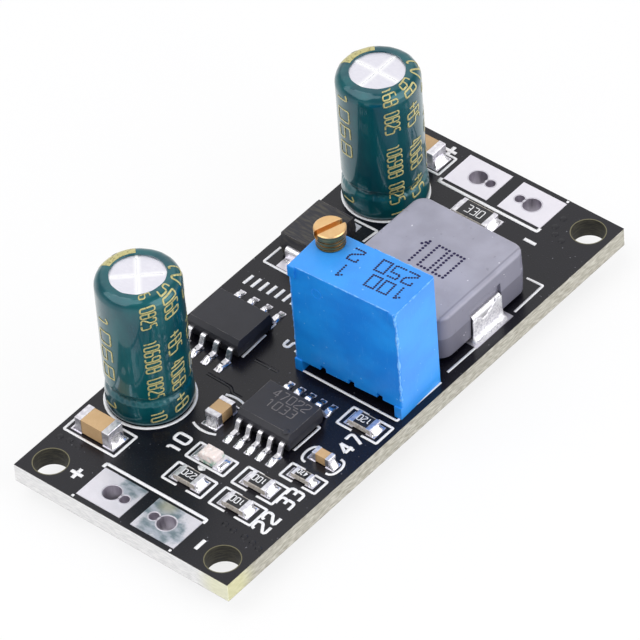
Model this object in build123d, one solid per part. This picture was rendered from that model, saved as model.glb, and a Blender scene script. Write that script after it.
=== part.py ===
from build123d import *
import os

# A small solar charge controller module: one circuit board with its parts on top and its
# leads soldered underneath. X runs along the board, from the input end (-X) to the battery
# end (+X). The origin is the middle of the board's underside, and +Z is up. Millimetres.

os.makedirs("parts", exist_ok=True)

# Circuit board
board_length = 45.0
board_width = 20.0
board_t = 1.6

# Mounting holes: two at the input end and one at the battery end
mount_hole_r = 1.3
mount_from_end = 1.8
mount_from_side = 1.93

# Tinned copper: the lands under the parts, and the rings round the lead holes
land_t = 0.05
ring_width = 0.42

# Wire pads: a big and a small hole that run into each other
wire_pad_x = 3.2
wire_pad_y = 4.06
wire_pad_pitch = 5.08
wire_pad_from_end = 0.45
wire_hole_r = 0.75
wire_small_hole_r = 0.42
wire_hole_spacing = 1.15
input_pads_offset_y = -0.1
battery_pads_offset_y = -0.45

# Leads through the board
lead_tail = 1.3
lead_hole_gap = 0.2
solder_cone_h = 0.95
solder_cone_top = 0.12
solder_cone_reach = 0.4

# Electrolytic capacitors
can_r = 3.0
can_height = 11.88
can_shoulder_r = 0.7
can_gap = 0.12
sleeve_t = 0.15
sleeve_gap = 0.03
vent_disc_r = 2.08
score_w = 0.14
score_depth = 0.1
score_margin = 0.29
groove_z = 2.28
groove_half = 0.58
groove_depth = 0.2
curl_in = 0.05
bung_wall = 0.5
bung_h = 2.3
bung_recess = 0.15
cap_lead_r = 0.25
cap_lead_pitch = 2.5
cap_from_side = 0.17
input_cap_from_end = 11.05
battery_cap_from_end = 7.3

# Trimmer potentiometer with its side screw on top
trimmer_x = 4.83
trimmer_y = 9.53
trimmer_height = 10.3
trimmer_centre_x = -0.42
trimmer_from_side = 0.66
trimmer_turn = 2.8
trimmer_nub_proud = 0.13
trimmer_nub_w = 0.62
trimmer_nub_h = 1.05
trimmer_end_wall = 0.62
trimmer_window_h = 0.95
trimmer_wall = 0.55
trimmer_corner_r = 0.22
trimmer_top_edge_r = 0.13
trimmer_notch_w = 0.5
trimmer_notch_h = 0.45
trimmer_notch_shift = 0.25
base_drop = 0.12
base_h = 1.5
trimmer_pin_r = 0.25
trimmer_pin_pitch = 2.54
trimmer_pin_depth = 0.8

# Adjusting screw of the trimmer
screw_inset = 1.27
screw_head_r = 1.2
screw_head_h = 0.54
screw_neck_r = 1.1
screw_neck_h = 1.0
screw_shank_r = 0.8
screw_above_base = 0.83
screw_running_gap = 0.05
screw_seat_gap = 0.06
screw_slot_w = 0.46
screw_slot_depth = 0.5
screw_slot_turn = -22.0
screw_edge_bevel = 0.08
neck_ring_depth = 0.07
neck_ring_w = 0.12
neck_ring_count = 3

# Moulded power inductor
inductor_side = 10.0
inductor_height = 4.0
inductor_corner_r = 1.1
inductor_edge_r = 0.32
inductor_foot_bevel = 0.16
inductor_draft = 2.0
inductor_x_from_centre = 8.35
inductor_from_side = 1.53
tab_w = 3.2
tab_t = 0.2
tab_bend_r = 0.3
tab_foot = 2.2
tab_out = 0.12
tab_recess_gap = 0.14
tab_recess_depth = 0.28
tab_recess_above = 0.9
tab_land_margin = 0.5

# Rectifier diode
diode_x = 4.55
diode_y = 3.5
diode_h = 2.05
diode_gap = 0.1
diode_draft = 6.0
diode_from_end = 14.75
diode_from_side = 1.35
diode_lead_w = 2.0
diode_lead_t = 0.2
diode_lead_out = 0.37
diode_lead_foot = 1.0
diode_lead_bend_r = 0.24
diode_land_margin = 0.2

# Power transistor and charge controller: moulded bodies with bent leads
soic_x = 3.9
soic_y = 4.9
soic_h = 1.45
soic_gap = 0.12
soic_draft = 8.0
soic_bevel = 0.32
lead_t = 0.2
lead_span = 6.0
lead_foot = 0.55
lead_shoulder = 0.2
lead_bend_r = 0.15
mosfet_pitch = 1.27
mosfet_side_lead_count = 4
mosfet_lead_w = 0.42
mosfet_centre_x = -2.95
mosfet_from_side = 1.18
controller_pitch = 1.0
controller_side_lead_count = 5
controller_lead_w = 0.38
controller_from_end = 14.4
controller_centre_y = -2.75
lead_land_toe = 0.78
lead_land_heel = 0.02
lead_land_margin = 0.14

# Chip resistors and capacitors: length, width, height, length of the metal ends
chip_end_wrap = 0.03
chip_edge_r = 0.07
chip_coat_t = 0.04
chip_coat_margin = 0.08
chip_land_out = 0.42
chip_land_margin = 0.06
fillet_below_top = 0.14
fillet_max_rise = 0.8
fillet_run = 0.34
fillet_hollow = 0.07
fillet_margin = 0.03
size_0603 = (1.6, 0.8, 0.45, 0.3)
size_0805 = (2.0, 1.25, 0.5, 0.4)
size_1206 = (3.2, 1.6, 0.55, 0.4)
ceramic_0603 = (1.6, 0.8, 0.8, 0.35)
ceramic_0805 = (2.0, 1.25, 1.0, 0.45)
ceramic_1206 = (3.2, 1.6, 1.35, 0.6)

# Places of the chip parts: from their end of the board, and from their side or its middle
lamp_resistor_from_end = 6.3
lamp_resistor_y = -1.15
divider_a_from_end = 6.35
divider_a_from_side = 4.4
divider_b_from_end = 8.85
divider_b_from_side = 4.47
filter_from_end = 11.2
filter_from_side = 2.44
feedback_from_end = 17.9
feedback_from_side = 2.32
sense_from_end = 5.55
sense_y = -0.42
input_ceramic_from_end = 6.0
input_ceramic_from_side = 2.9
battery_ceramic_from_end = 2.5
battery_ceramic_from_side = 3.0
supply_ceramic_from_end = 12.5
supply_ceramic_y = 1.2
loop_ceramic_from_end = 13.4
loop_ceramic_from_side = 2.35

# Indicator lamp
lamp_from_end = 8.8
lamp_y = -1.06
led_length = 2.0
led_width = 1.25
led_base_h = 0.3
led_end = 0.38
led_lens_l = 1.5
led_lens_h = 0.5
led_lens_draft = 10.0
led_lens_edge_r = 0.15

# Heights and end positions that the rest is built from
top = board_t
seat = board_t + land_t
input_end = -board_length / 2
battery_end = board_length / 2
side_y = board_width / 2

# Chip resistors: name, centre x, centre y, size
resistors = [
    ("lamp_resistor", input_end + lamp_resistor_from_end, lamp_resistor_y, size_0805),
    ("divider_resistor_a", input_end + divider_a_from_end, divider_a_from_side - side_y, size_0805),
    ("divider_resistor_b", input_end + divider_b_from_end, divider_b_from_side - side_y, size_0805),
    ("filter_resistor", input_end + filter_from_end, filter_from_side - side_y, size_0603),
    ("feedback_resistor", input_end + feedback_from_end, feedback_from_side - side_y, size_0805),
    ("sense_resistor", battery_end - sense_from_end, sense_y, size_1206),
]

# Ceramic chip capacitors: name, centre x, centre y, size, turned to lie along X
ceramics = [
    ("input_ceramic", input_end + input_ceramic_from_end, side_y - input_ceramic_from_side,
     ceramic_1206, False),
    ("battery_ceramic", battery_end - battery_ceramic_from_end,
     side_y - battery_ceramic_from_side, ceramic_1206, False),
    ("supply_ceramic", input_end + supply_ceramic_from_end, supply_ceramic_y, ceramic_0805, True),
    ("loop_ceramic", input_end + loop_ceramic_from_end, loop_ceramic_from_side - side_y,
     ceramic_0603, False),
]

lamp_place = (input_end + lamp_from_end, lamp_y)
cap_y = side_y - cap_from_side - can_r - sleeve_gap - sleeve_t
cap_places = {
    "input_capacitor": (input_end + input_cap_from_end, cap_y),
    "battery_capacitor": (battery_end - battery_cap_from_end, cap_y),
}
vent_turns = {"input_capacitor": 43.0, "battery_capacitor": 0.0}
inductor_place = (inductor_x_from_centre, -side_y + inductor_from_side + inductor_side / 2)
diode_place = (battery_end - diode_from_end, side_y - diode_from_side - diode_y / 2)
mosfet_place = (mosfet_centre_x, side_y - mosfet_from_side - soic_y / 2)
controller_place = (input_end + controller_from_end, controller_centre_y)
trimmer_core_x = trimmer_x - trimmer_nub_proud
trimmer_core_mid = trimmer_nub_proud / 2
trimmer_place = Location(
    (trimmer_centre_x, -side_y + trimmer_from_side + trimmer_y / 2, top), (0, 0, trimmer_turn)
)


def save(shape, node):
    """Write one piece, or one group of like pieces, to its own file."""
    export_step(shape, f"parts/{node}.step")


def block(x, y, z, length, width, height):
    """A block that stands on height z, centred on x and y."""
    return Pos(x, y, z) * Box(length, width, height, align=(Align.CENTER, Align.CENTER, Align.MIN))


def rod(x, y, z, radius, height):
    """An upright cylinder that stands on height z."""
    return Pos(x, y, z) * Cylinder(radius, height, align=(Align.CENTER, Align.CENTER, Align.MIN))


def group(shapes):
    """Separate solids that share one node."""
    return Compound(children=[solid for shape in shapes for solid in shape.solids()])


def cap_lead_places(name):
    """Centres of the two leads of a standing capacitor."""
    x, y = cap_places[name]
    return [(x - cap_lead_pitch / 2, y), (x + cap_lead_pitch / 2, y)]


def trimmer_pin_places():
    """Centres of the trimmer's three pins, turned with it."""
    spots = [trimmer_place * Pos(0, i * trimmer_pin_pitch, 0) for i in (-1, 0, 1)]
    return [(spot.position.X, spot.position.Y) for spot in spots]


def lead_places():
    """Every lead that goes through the board, with its radius."""
    caps = [(place, cap_lead_r) for name in cap_places for place in cap_lead_places(name)]
    return caps + [(place, trimmer_pin_r) for place in trimmer_pin_places()]


def wire_pad_places():
    """Centre of each wire pad, and the way from its big hole to its small one."""
    x = board_length / 2 - wire_pad_from_end - wire_pad_x / 2
    half = wire_pad_pitch / 2
    return {
        "input_positive_pad": (-x, input_pads_offset_y + half, -1),
        "input_negative_pad": (-x, input_pads_offset_y - half, 1),
        "battery_positive_pad": (x, battery_pads_offset_y + half, -1),
        "battery_negative_pad": (x, battery_pads_offset_y - half, 1),
    }


def mount_hole_places():
    """Centres of the three mounting holes."""
    x = board_length / 2 - mount_from_end
    y = board_width / 2 - mount_from_side
    return [(-x, y), (-x, -y), (x, -y)]


def wire_holes(place, z, height):
    """The big and the small hole of a wire pad, as one cutter."""
    x, y, way = place
    small = rod(x, y + way * wire_hole_spacing, z, wire_small_hole_r, height)
    return rod(x, y, z, wire_hole_r, height) + small


def circuit_board():
    """The drilled board."""
    board = block(0, 0, 0, board_length, board_width, board_t)
    cuts = [rod(x, y, 0, mount_hole_r, board_t) for x, y in mount_hole_places()]
    cuts += [wire_holes(place, 0, board_t) for place in wire_pad_places().values()]
    cuts += [rod(x, y, 0, radius + lead_hole_gap, board_t) for (x, y), radius in lead_places()]
    return board - cuts


def wire_pad(place):
    """A bare tinned pad on each face of the board, drilled with it."""
    x, y, _ = place
    pads = [block(x, y, z, wire_pad_x, wire_pad_y, land_t) for z in (-land_t, board_t)]
    return group([pad - wire_holes(place, -land_t, board_t + 2 * land_t) for pad in pads])


def lead_rings(x, y, radius):
    """The tinned ring round one lead's hole, on each face of the board."""
    inner = radius + lead_hole_gap
    rings = [rod(x, y, z, inner + ring_width, land_t) for z in (-land_t, board_t)]
    return group([ring - rod(x, y, -land_t, inner, board_t + 2 * land_t) for ring in rings])


def solder_joint(x, y, radius):
    """Solder that fills a lead's hole and climbs the lead under the board."""
    inner = radius + lead_hole_gap
    fill = rod(x, y, -land_t, inner, board_t + 2 * land_t)
    climb = Cone(radius + solder_cone_top, inner + solder_cone_reach, solder_cone_h,
                 align=(Align.CENTER, Align.CENTER, Align.MAX))
    lead = rod(x, y, -lead_tail, radius, lead_tail + board_t + land_t)
    return fill + Pos(x, y, -land_t) * climb - lead


def can_side(grow, hidden):
    """The wall from its foot up over the shoulder, wider by grow than the can's.

    The rolled groove is round where it shows. Under the sleeve it has straight sides.
    """
    r = can_r + grow
    low = groove_z - groove_half
    high = groove_z + groove_half
    edges, bottom = ((r, low), (r, high)), (r - groove_depth, groove_z)
    round_groove = [ThreePointArc(edges[0], bottom, edges[1])]
    plain_groove = [Line(edges[0], bottom), Line(bottom, edges[1])]
    return [
        Line((r - curl_in, 0), (r, low)),
        *(plain_groove if hidden else round_groove),
        Line((r, high), (r, can_height - can_shoulder_r)),
        RadiusArc(
            (r, can_height - can_shoulder_r),
            (can_r - can_shoulder_r, can_height + grow),
            -(can_shoulder_r + grow),
        ),
    ]


def capacitor_can(name):
    """Drawn aluminium can with its rolled groove, scored top and recess for the bung."""
    x, y = cap_places[name]
    top_edge = (can_r - can_shoulder_r, can_height)
    outline = can_side(0, True) + [
        Line(top_edge, (0, can_height)),
        Line((0, can_height), (0, 0)),
        Line((0, 0), (can_r - curl_in, 0)),
    ]
    can = revolve(make_face(Plane.XZ * Wire(outline)), Axis.Z)
    can -= rod(0, 0, 0, can_r - bung_wall, bung_h + bung_recess)
    reach = 2 * (vent_disc_r - score_margin)
    for turn in (0, 90):
        groove = block(0, 0, can_height - score_depth, reach, score_w, score_depth)
        can -= Rot(0, 0, vent_turns[name] + turn) * groove
    return Pos(x, y, top + can_gap) * can


def capacitor_sleeve(name):
    """Shrunk sleeve: it follows the can and laps over the shoulder onto the top."""
    x, y = cap_places[name]
    inner, outer = can_side(sleeve_gap, True), can_side(sleeve_gap + sleeve_t, False)
    shoulder = can_r - can_shoulder_r
    low, high = can_height + sleeve_gap, can_height + sleeve_gap + sleeve_t
    lip = [
        Line((shoulder, high), (vent_disc_r, high)),
        Line((vent_disc_r, high), (vent_disc_r, low)),
        Line((vent_disc_r, low), (shoulder, low)),
    ]
    foot = Line((can_r + sleeve_gap - curl_in, 0), (can_r + sleeve_gap + sleeve_t - curl_in, 0))
    face = make_face(Plane.XZ * Wire(outer + lip + inner + [foot]))
    return Pos(x, y, top + can_gap) * revolve(face, Axis.Z)


def capacitor_bung(name):
    """Rubber seal in the mouth of the can, with a hole for each lead."""
    x, y = cap_places[name]
    bung = rod(x, y, top + can_gap + bung_recess, can_r - bung_wall, bung_h)
    for lead_x, lead_y in cap_lead_places(name):
        bung -= rod(lead_x, lead_y, top, cap_lead_r, can_gap + bung_recess + bung_h)
    return bung


def capacitor_leads(name):
    """Two wires from the top of the bung down through the board."""
    height = lead_tail + board_t + can_gap + bung_recess + bung_h
    return group([rod(x, y, -lead_tail, cap_lead_r, height) for x, y in cap_lead_places(name)])


def trimmer_base():
    """Dark sealing block in the underside of the trimmer, with the three pins in it."""
    length = trimmer_y - 2 * trimmer_end_wall
    width = trimmer_core_x - 2 * trimmer_wall
    base = block(trimmer_core_mid, 0, trimmer_window_h - base_drop, width, length, base_h)
    for i in (-1, 0, 1):
        y = i * trimmer_pin_pitch
        base -= rod(0, y, trimmer_window_h - base_drop, trimmer_pin_r, trimmer_pin_depth)
    return trimmer_place * base


def trimmer_screw_spot():
    """Centre of the adjusting screw and the height of its tip, in the trimmer's own frame."""
    tip = trimmer_window_h - base_drop + base_h + screw_above_base
    return trimmer_x / 2 - screw_inset, trimmer_y / 2 - screw_inset, tip


def trimmer_housing():
    """Moulded cap: end walls down to the board, windows in the long walls, front nubs."""
    housing = block(trimmer_core_mid, 0, 0, trimmer_core_x, trimmer_y, trimmer_height)
    housing = fillet(housing.edges().filter_by(Axis.Z), trimmer_corner_r)
    nub_y = trimmer_y / 2 - trimmer_nub_w / 2
    for sy in (-1, 1):
        for z in (0, trimmer_height - trimmer_nub_h):
            housing += block(-trimmer_x / 4, sy * nub_y, z, trimmer_x / 2, trimmer_nub_w,
                             trimmer_nub_h)
    housing = fillet(housing.faces().sort_by(Axis.Z)[-1].edges(), trimmer_top_edge_r)
    gap_y = trimmer_y - 2 * trimmer_end_wall
    housing -= block(0, 0, 0, trimmer_x, gap_y, trimmer_window_h)
    housing -= block(trimmer_core_mid, 0, trimmer_window_h, trimmer_core_x - 2 * trimmer_wall,
                     gap_y, base_h - base_drop)
    front = trimmer_nub_proud - trimmer_x / 2
    for i in (-1, 0, 1):
        notch_y = i * trimmer_pin_pitch - trimmer_notch_shift
        housing -= block(front, notch_y, trimmer_window_h, trimmer_wall, trimmer_notch_w,
                         trimmer_notch_h)
    x, y, tip = trimmer_screw_spot()
    bore_z = tip - screw_seat_gap
    housing -= rod(x, y, bore_z, screw_shank_r + screw_running_gap, trimmer_height - bore_z)
    return trimmer_place * housing


def trimmer_screw():
    """Brass screw: slotted head, ringed neck, and a shank that runs in the housing."""
    x, y, tip = trimmer_screw_spot()
    z = trimmer_height + screw_seat_gap
    screw = rod(x, y, tip, screw_shank_r, z - tip)
    neck = rod(x, y, z, screw_neck_r, screw_neck_h)
    step = screw_neck_h / neck_ring_count
    for i in range(neck_ring_count):
        ring_z = z + (i + 0.5) * step - neck_ring_w / 2
        ring = rod(x, y, ring_z, screw_neck_r, neck_ring_w)
        neck -= ring - rod(x, y, ring_z, screw_neck_r - neck_ring_depth, neck_ring_w)
    head = rod(x, y, z + screw_neck_h, screw_head_r, screw_head_h)
    head = chamfer(head.faces().sort_by(Axis.Z)[-1].edges(), screw_edge_bevel)
    slot_z = z + screw_neck_h + screw_head_h - screw_slot_depth
    slot = block(0, 0, slot_z, 2 * screw_head_r, screw_slot_w, screw_slot_depth)
    screw = screw + neck + head - Pos(x, y, 0) * Rot(0, 0, screw_slot_turn) * slot
    return trimmer_place * screw


def trimmer_pins():
    """Three pins from the base down through the board."""
    pin_top = top + trimmer_window_h - base_drop + trimmer_pin_depth
    return group([rod(x, y, -lead_tail, trimmer_pin_r, lead_tail + pin_top)
                  for x, y in trimmer_pin_places()])


def drafted_block(length, width, height, draft, parting, corner_r=0):
    """A moulded block on z = 0 whose walls lean in above and below the parting line."""
    outline = Rectangle(length, width) if corner_r == 0 else RectangleRounded(length, width, corner_r)
    upper = extrude(Pos(0, 0, parting) * outline, amount=height - parting, taper=draft)
    lower = extrude(Pos(0, 0, parting) * outline, amount=-parting, taper=draft)
    return upper + lower


def bent_strip(points, radius, width, thickness, across):
    """A flat strip bent along a path of points, with its width along a given axis."""
    path = FilletPolyline(*points, radius=radius)
    section = Plane(origin=path @ 0, x_dir=across, z_dir=path % 0) * Rectangle(width, thickness)
    return sweep(section, path)


def inductor_terminals():
    """Flat strips that leave the parting line, run down the side and fold under the body."""
    x, y = inductor_place
    middle = seat + tab_t + inductor_height / 2
    under = seat + tab_t / 2
    strips = []
    for side in (-1, 1):
        outer = inductor_side / 2 + tab_out - tab_t / 2
        points = [
            (x, y + side * (outer - tab_recess_depth - tab_out), middle),
            (x, y + side * outer, middle),
            (x, y + side * outer, under),
            (x, y + side * (outer - tab_foot), under),
        ]
        strips.append(bent_strip(points, tab_bend_r, tab_w, tab_t, (1, 0, 0)))
    return group(strips)


def inductor_body():
    """Pressed powder block with round corners, a parting line and a recess for each strip."""
    x, y = inductor_place
    half = inductor_height / 2
    body = drafted_block(inductor_side, inductor_side, inductor_height, inductor_draft, half,
                         inductor_corner_r)
    body = fillet(body.faces().sort_by(Axis.Z)[-1].edges(), inductor_edge_r)
    body = chamfer(body.faces().sort_by(Axis.Z)[0].edges(), inductor_foot_bevel)
    recess_top = half + tab_recess_above
    for side in (-1, 1):
        recess = block(0, side * (inductor_side / 2 - tab_recess_depth / 2), 0,
                       tab_w + 2 * tab_recess_gap, tab_recess_depth, recess_top)
        body -= recess
    return Pos(x, y, seat + tab_t) * body - inductor_terminals()


def diode_body():
    """Moulded block with sloping walls."""
    x, y = diode_place
    body = drafted_block(diode_x, diode_y, diode_h, diode_draft, diode_h / 2)
    return Pos(x, y, seat + diode_gap) * body


def diode_terminals():
    """Strips that leave each end at half height, bend down and fold in under the body."""
    x, y = diode_place
    middle = seat + diode_gap + diode_h / 2
    under = seat + diode_lead_t / 2
    strips = []
    for side in (-1, 1):
        outer = diode_x / 2 + diode_lead_out - diode_lead_t / 2
        points = [
            (x + side * (diode_x / 2 - diode_lead_out), y, middle),
            (x + side * outer, y, middle),
            (x + side * outer, y, under),
            (x + side * (outer - diode_lead_foot), y, under),
        ]
        strips.append(bent_strip(points, diode_lead_bend_r, diode_lead_w, diode_lead_t, (0, 1, 0)))
    return group(strips)


def chip_body(place):
    """Body of a small integrated circuit, with a long bevel on its pin one side."""
    body = drafted_block(soic_x, soic_y, soic_h, soic_draft, soic_h / 2)
    left = body.faces().sort_by(Axis.Z)[-1].edges().filter_by(Axis.Y).sort_by(Axis.X)[0]
    body = chamfer(left, soic_bevel)
    return Pos(place[0], place[1], seat + soic_gap) * body


def chip_leads(place, count, pitch, width):
    """Leads that slope down to flat feet on both long sides, cut off where they enter."""
    middle = seat + soic_gap + soic_h / 2
    foot = seat + lead_t / 2
    leads = []
    for side in (-1, 1):
        tip = lead_span / 2
        points = [(soic_x / 2 - lead_t, middle), (soic_x / 2 + lead_shoulder, middle),
                  (tip - lead_foot, foot), (tip, foot)]
        for i in range(count):
            y = place[1] + (i - (count - 1) / 2) * pitch
            path = [(place[0] + side * reach, y, z) for reach, z in points]
            leads.append(bent_strip(path, lead_bend_r, width, lead_t, (0, 1, 0)))
    return group([lead - chip_body(place) for lead in leads])


def chip_lead_lands(place, count, pitch, width):
    """Lands under the leads of an integrated circuit."""
    lands = []
    length = lead_foot + lead_land_heel + lead_land_toe
    for side in (-1, 1):
        x = place[0] + side * (lead_span / 2 + lead_land_toe - length / 2)
        for i in range(count):
            y = place[1] + (i - (count - 1) / 2) * pitch
            lands.append(block(x, y, top, length, width + lead_land_margin, land_t))
    return lands


def chip_core(size, wraps_sides):
    """The ceramic block of a chip part that lies along Y."""
    length, width, height, _ = size
    side = chip_end_wrap if wraps_sides else 0
    return block(0, 0, chip_end_wrap, width - 2 * side, length - 2 * chip_end_wrap,
                 height - 2 * chip_end_wrap)


def chip_ends(size, wraps_sides):
    """The two metal ends of a chip part: they wrap round the ends of its ceramic block."""
    length, width, height, end = size
    ends = []
    for side in (-1, 1):
        cap = block(0, side * (length - end) / 2, 0, width, end, height)
        outside = cap.faces().sort_by(Axis.Y)[0 if side < 0 else -1]
        cap = fillet(outside.edges(), chip_edge_r)
        ends.append(cap - chip_core(size, wraps_sides))
    return ends


def chip_place(x, y, turned):
    """Where a chip part lies: along Y, or turned to lie along X."""
    return Pos(x, y, seat) * Rot(0, 0, 90 if turned else 0)


def chip_lands(x, y, length, width, end, turned):
    """The two lands of a chip part."""
    long = end + chip_land_out
    out = length / 2 - end + long / 2
    place = chip_place(x, y, turned) * Pos(0, 0, -land_t)
    return [place * block(0, side * out, 0, width + 2 * chip_land_margin, long, land_t)
            for side in (-1, 1)]


def end_fillets(x, y, length, width, height, turned):
    """The hollow wedge of solder between each metal end and its land."""
    rise = min(height - fillet_below_top, fillet_max_rise)
    wedges = []
    for side in (-1, 1):
        start = side * length / 2
        foot, crest = (start + side * fillet_run, 0), (start, rise)
        with BuildSketch(Plane.YZ) as face:
            with BuildLine():
                Line((start, 0), foot)
                SagittaArc(foot, crest, -side * fillet_hollow)
                Line(crest, (start, 0))
            make_face()
        wedge = extrude(face.sketch, amount=width / 2 - fillet_margin, both=True)
        wedges.append(chip_place(x, y, turned) * wedge)
    return wedges


def resistor_coat(x, y, size):
    """The dark coat between the metal ends on top of a chip resistor."""
    length, width, height, end = size
    return block(x, y, seat + height - chip_end_wrap, width - 2 * chip_coat_margin,
                 length - 2 * end, chip_coat_t)


def lamp_base():
    """White base of the indicator lamp."""
    return block(lamp_place[0], lamp_place[1], seat, led_width, led_length - 2 * led_end, led_base_h)


def lamp_terminals():
    """The metal ends of the lamp's base."""
    x, y = lamp_place
    out = (led_length - led_end) / 2
    return [block(x, y + side * out, seat, led_width, led_end, led_base_h) for side in (-1, 1)]


def lamp_lens():
    """Clear moulded lens with sloping walls and soft edges."""
    lens = extrude(Rectangle(led_width, led_lens_l), amount=led_lens_h, taper=led_lens_draft)
    lens = fillet(lens.faces().sort_by(Axis.Z)[-1].edges(), led_lens_edge_r)
    return Pos(lamp_place[0], lamp_place[1], seat + led_base_h) * lens


def strip_lands():
    """Lands under the strips of the inductor and of the diode."""
    lands = []
    x, y = inductor_place
    for side in (-1, 1):
        out = inductor_side / 2 + tab_out - tab_foot / 2 + chip_land_out
        lands.append(block(x, y + side * out, top, tab_w + 2 * tab_land_margin,
                           tab_foot + chip_land_out, land_t))
    x, y = diode_place
    for side in (-1, 1):
        out = diode_x / 2 + diode_lead_out - diode_lead_foot / 2 + chip_land_out
        lands.append(block(x + side * out, y, top, diode_lead_foot + 2 * chip_land_out,
                           diode_lead_w + 2 * diode_land_margin, land_t))
    return lands


def component_lands():
    """Every land that a flat part is soldered to."""
    lands = strip_lands()
    for _, x, y, (length, width, _, end) in resistors:
        lands += chip_lands(x, y, length, width, end, False)
    for _, x, y, (length, width, _, end), turned in ceramics:
        lands += chip_lands(x, y, length, width, end, turned)
    lands += chip_lands(*lamp_place, led_length, led_width, led_end, False)
    lands += chip_lead_lands(mosfet_place, mosfet_side_lead_count, mosfet_pitch, mosfet_lead_w)
    lands += chip_lead_lands(controller_place, controller_side_lead_count, controller_pitch,
                             controller_lead_w)
    return group(lands)


def surface_solder():
    """The solder wedges at the ends of every chip part."""
    wedges = []
    for _, x, y, (length, width, height, _) in resistors:
        wedges += end_fillets(x, y, length, width, height, False)
    for _, x, y, (length, width, height, _), turned in ceramics:
        wedges += end_fillets(x, y, length, width, height, turned)
    wedges += end_fillets(*lamp_place, led_length, led_width, led_base_h, False)
    return group(wedges)


save(circuit_board(), "circuit_board")
for name, place in wire_pad_places().items():
    save(wire_pad(place), name)
save(group([lead_rings(x, y, radius) for (x, y), radius in lead_places()]), "lead_rings")
save(group([solder_joint(x, y, radius) for (x, y), radius in lead_places()]), "solder_joints")
save(component_lands(), "component_lands")
save(surface_solder(), "surface_solder")

for name in cap_places:
    save(capacitor_can(name), f"{name}_can")
    save(capacitor_sleeve(name), f"{name}_sleeve")
    save(capacitor_bung(name), f"{name}_bung")
    save(capacitor_leads(name), f"{name}_leads")

save(trimmer_housing(), "trimmer_housing")
save(trimmer_base(), "trimmer_base")
save(trimmer_screw(), "trimmer_screw")
save(trimmer_pins(), "trimmer_pins")

save(inductor_body(), "inductor_body")
save(inductor_terminals(), "inductor_terminals")

save(diode_body() - diode_terminals(), "diode_body")
save(diode_terminals(), "diode_terminals")

save(chip_body(mosfet_place), "mosfet_body")
save(chip_leads(mosfet_place, mosfet_side_lead_count, mosfet_pitch, mosfet_lead_w), "mosfet_leads")
save(chip_body(controller_place), "controller_body")
save(chip_leads(controller_place, controller_side_lead_count, controller_pitch, controller_lead_w),
     "controller_leads")

coats = []
for name, x, y, size in resistors:
    place = chip_place(x, y, False)
    save(place * chip_core(size, False), f"{name}_body")
    save(group([place * end for end in chip_ends(size, False)]), f"{name}_ends")
    coats.append(resistor_coat(x, y, size))
save(group(coats), "resistor_coats")

for name, x, y, size, turned in ceramics:
    place = chip_place(x, y, turned)
    save(place * chip_core(size, True), f"{name}_body")
    save(group([place * end for end in chip_ends(size, True)]), f"{name}_ends")

save(lamp_base(), "lamp_base")
save(lamp_lens(), "lamp_lens")
save(group(lamp_terminals()), "lamp_terminals")
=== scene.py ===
"""The looks of a small solar charge controller board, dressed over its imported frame.

Lengths are in millimetres, and mm turns them into metres. The board lies in the XY plane with
its input end at -X. Pieces take their places from the frame's boxes.
"""

import math
import random

import bpy
import numpy as np
from mathutils import Matrix, Vector


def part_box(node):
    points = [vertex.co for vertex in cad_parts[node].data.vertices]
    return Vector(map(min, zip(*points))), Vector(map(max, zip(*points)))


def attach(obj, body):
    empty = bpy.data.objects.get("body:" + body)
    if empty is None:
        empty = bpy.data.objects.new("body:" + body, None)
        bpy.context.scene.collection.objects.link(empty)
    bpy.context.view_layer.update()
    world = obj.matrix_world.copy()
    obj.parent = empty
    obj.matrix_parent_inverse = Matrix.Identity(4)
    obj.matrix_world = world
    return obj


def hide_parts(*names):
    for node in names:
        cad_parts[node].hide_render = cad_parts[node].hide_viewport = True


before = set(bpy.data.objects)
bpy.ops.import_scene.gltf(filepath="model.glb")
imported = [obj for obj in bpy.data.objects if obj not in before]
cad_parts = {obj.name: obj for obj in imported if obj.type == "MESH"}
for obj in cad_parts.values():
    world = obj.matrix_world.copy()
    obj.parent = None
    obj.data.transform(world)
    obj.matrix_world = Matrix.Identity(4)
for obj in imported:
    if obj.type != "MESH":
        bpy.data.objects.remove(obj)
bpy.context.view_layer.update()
mm = 0.001

# Camera, worked out from the board's corners in the photograph
camera_azimuth = -46.829
camera_elevation = 43.869
camera_roll = -4.76
camera_distance = 467.16
camera_lens = 362.07
camera_target = (1.828, 1.859)
window_direction = (0.526, 0.493, 0.693)
lit_point = (0, 0, 0.004)

# Mounting holes and wire holes
hole_radius = 1.3
hole_from_end = 1.8
hole_from_side = 1.93
wire_holes = ((0.75, 0.0), (0.42, 1.15))
plating = 0.035

# Stains on the bare tin at the input end: x, y and reach of each, and a yellow tinge
tin_stains = ((-19.0, 1.4, 1.9), (-19.6, -1.6, 2.6), (-20.9, -3.2, 2.2), (-21.2, -1.9, 1.7))
tinge_place = (-19.1, -1.7)

# Board print
print_height = 0.03
line_width = 0.2
broad_line_width = 0.26
label_height = 1.2
label_width = 0.24
mark_width = 0.3
mark_height = 1.7
frame_gap = 0.9
track_height = 0.004
via_spots = ((-18.01, -6.01), (-18.15, -6.87), (-18.16, -7.91), (-18.29, -8.76), (-18.47, -9.47),
             (-18.41, 9.2), (-18.3, 8.37), (-18.37, 7.4), (20.69, -5.77), (19.67, -5.8),
             (19.03, -6.3), (18.74, -7.1))
via_halves = (0.27, 0.27, 0.045)

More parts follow.
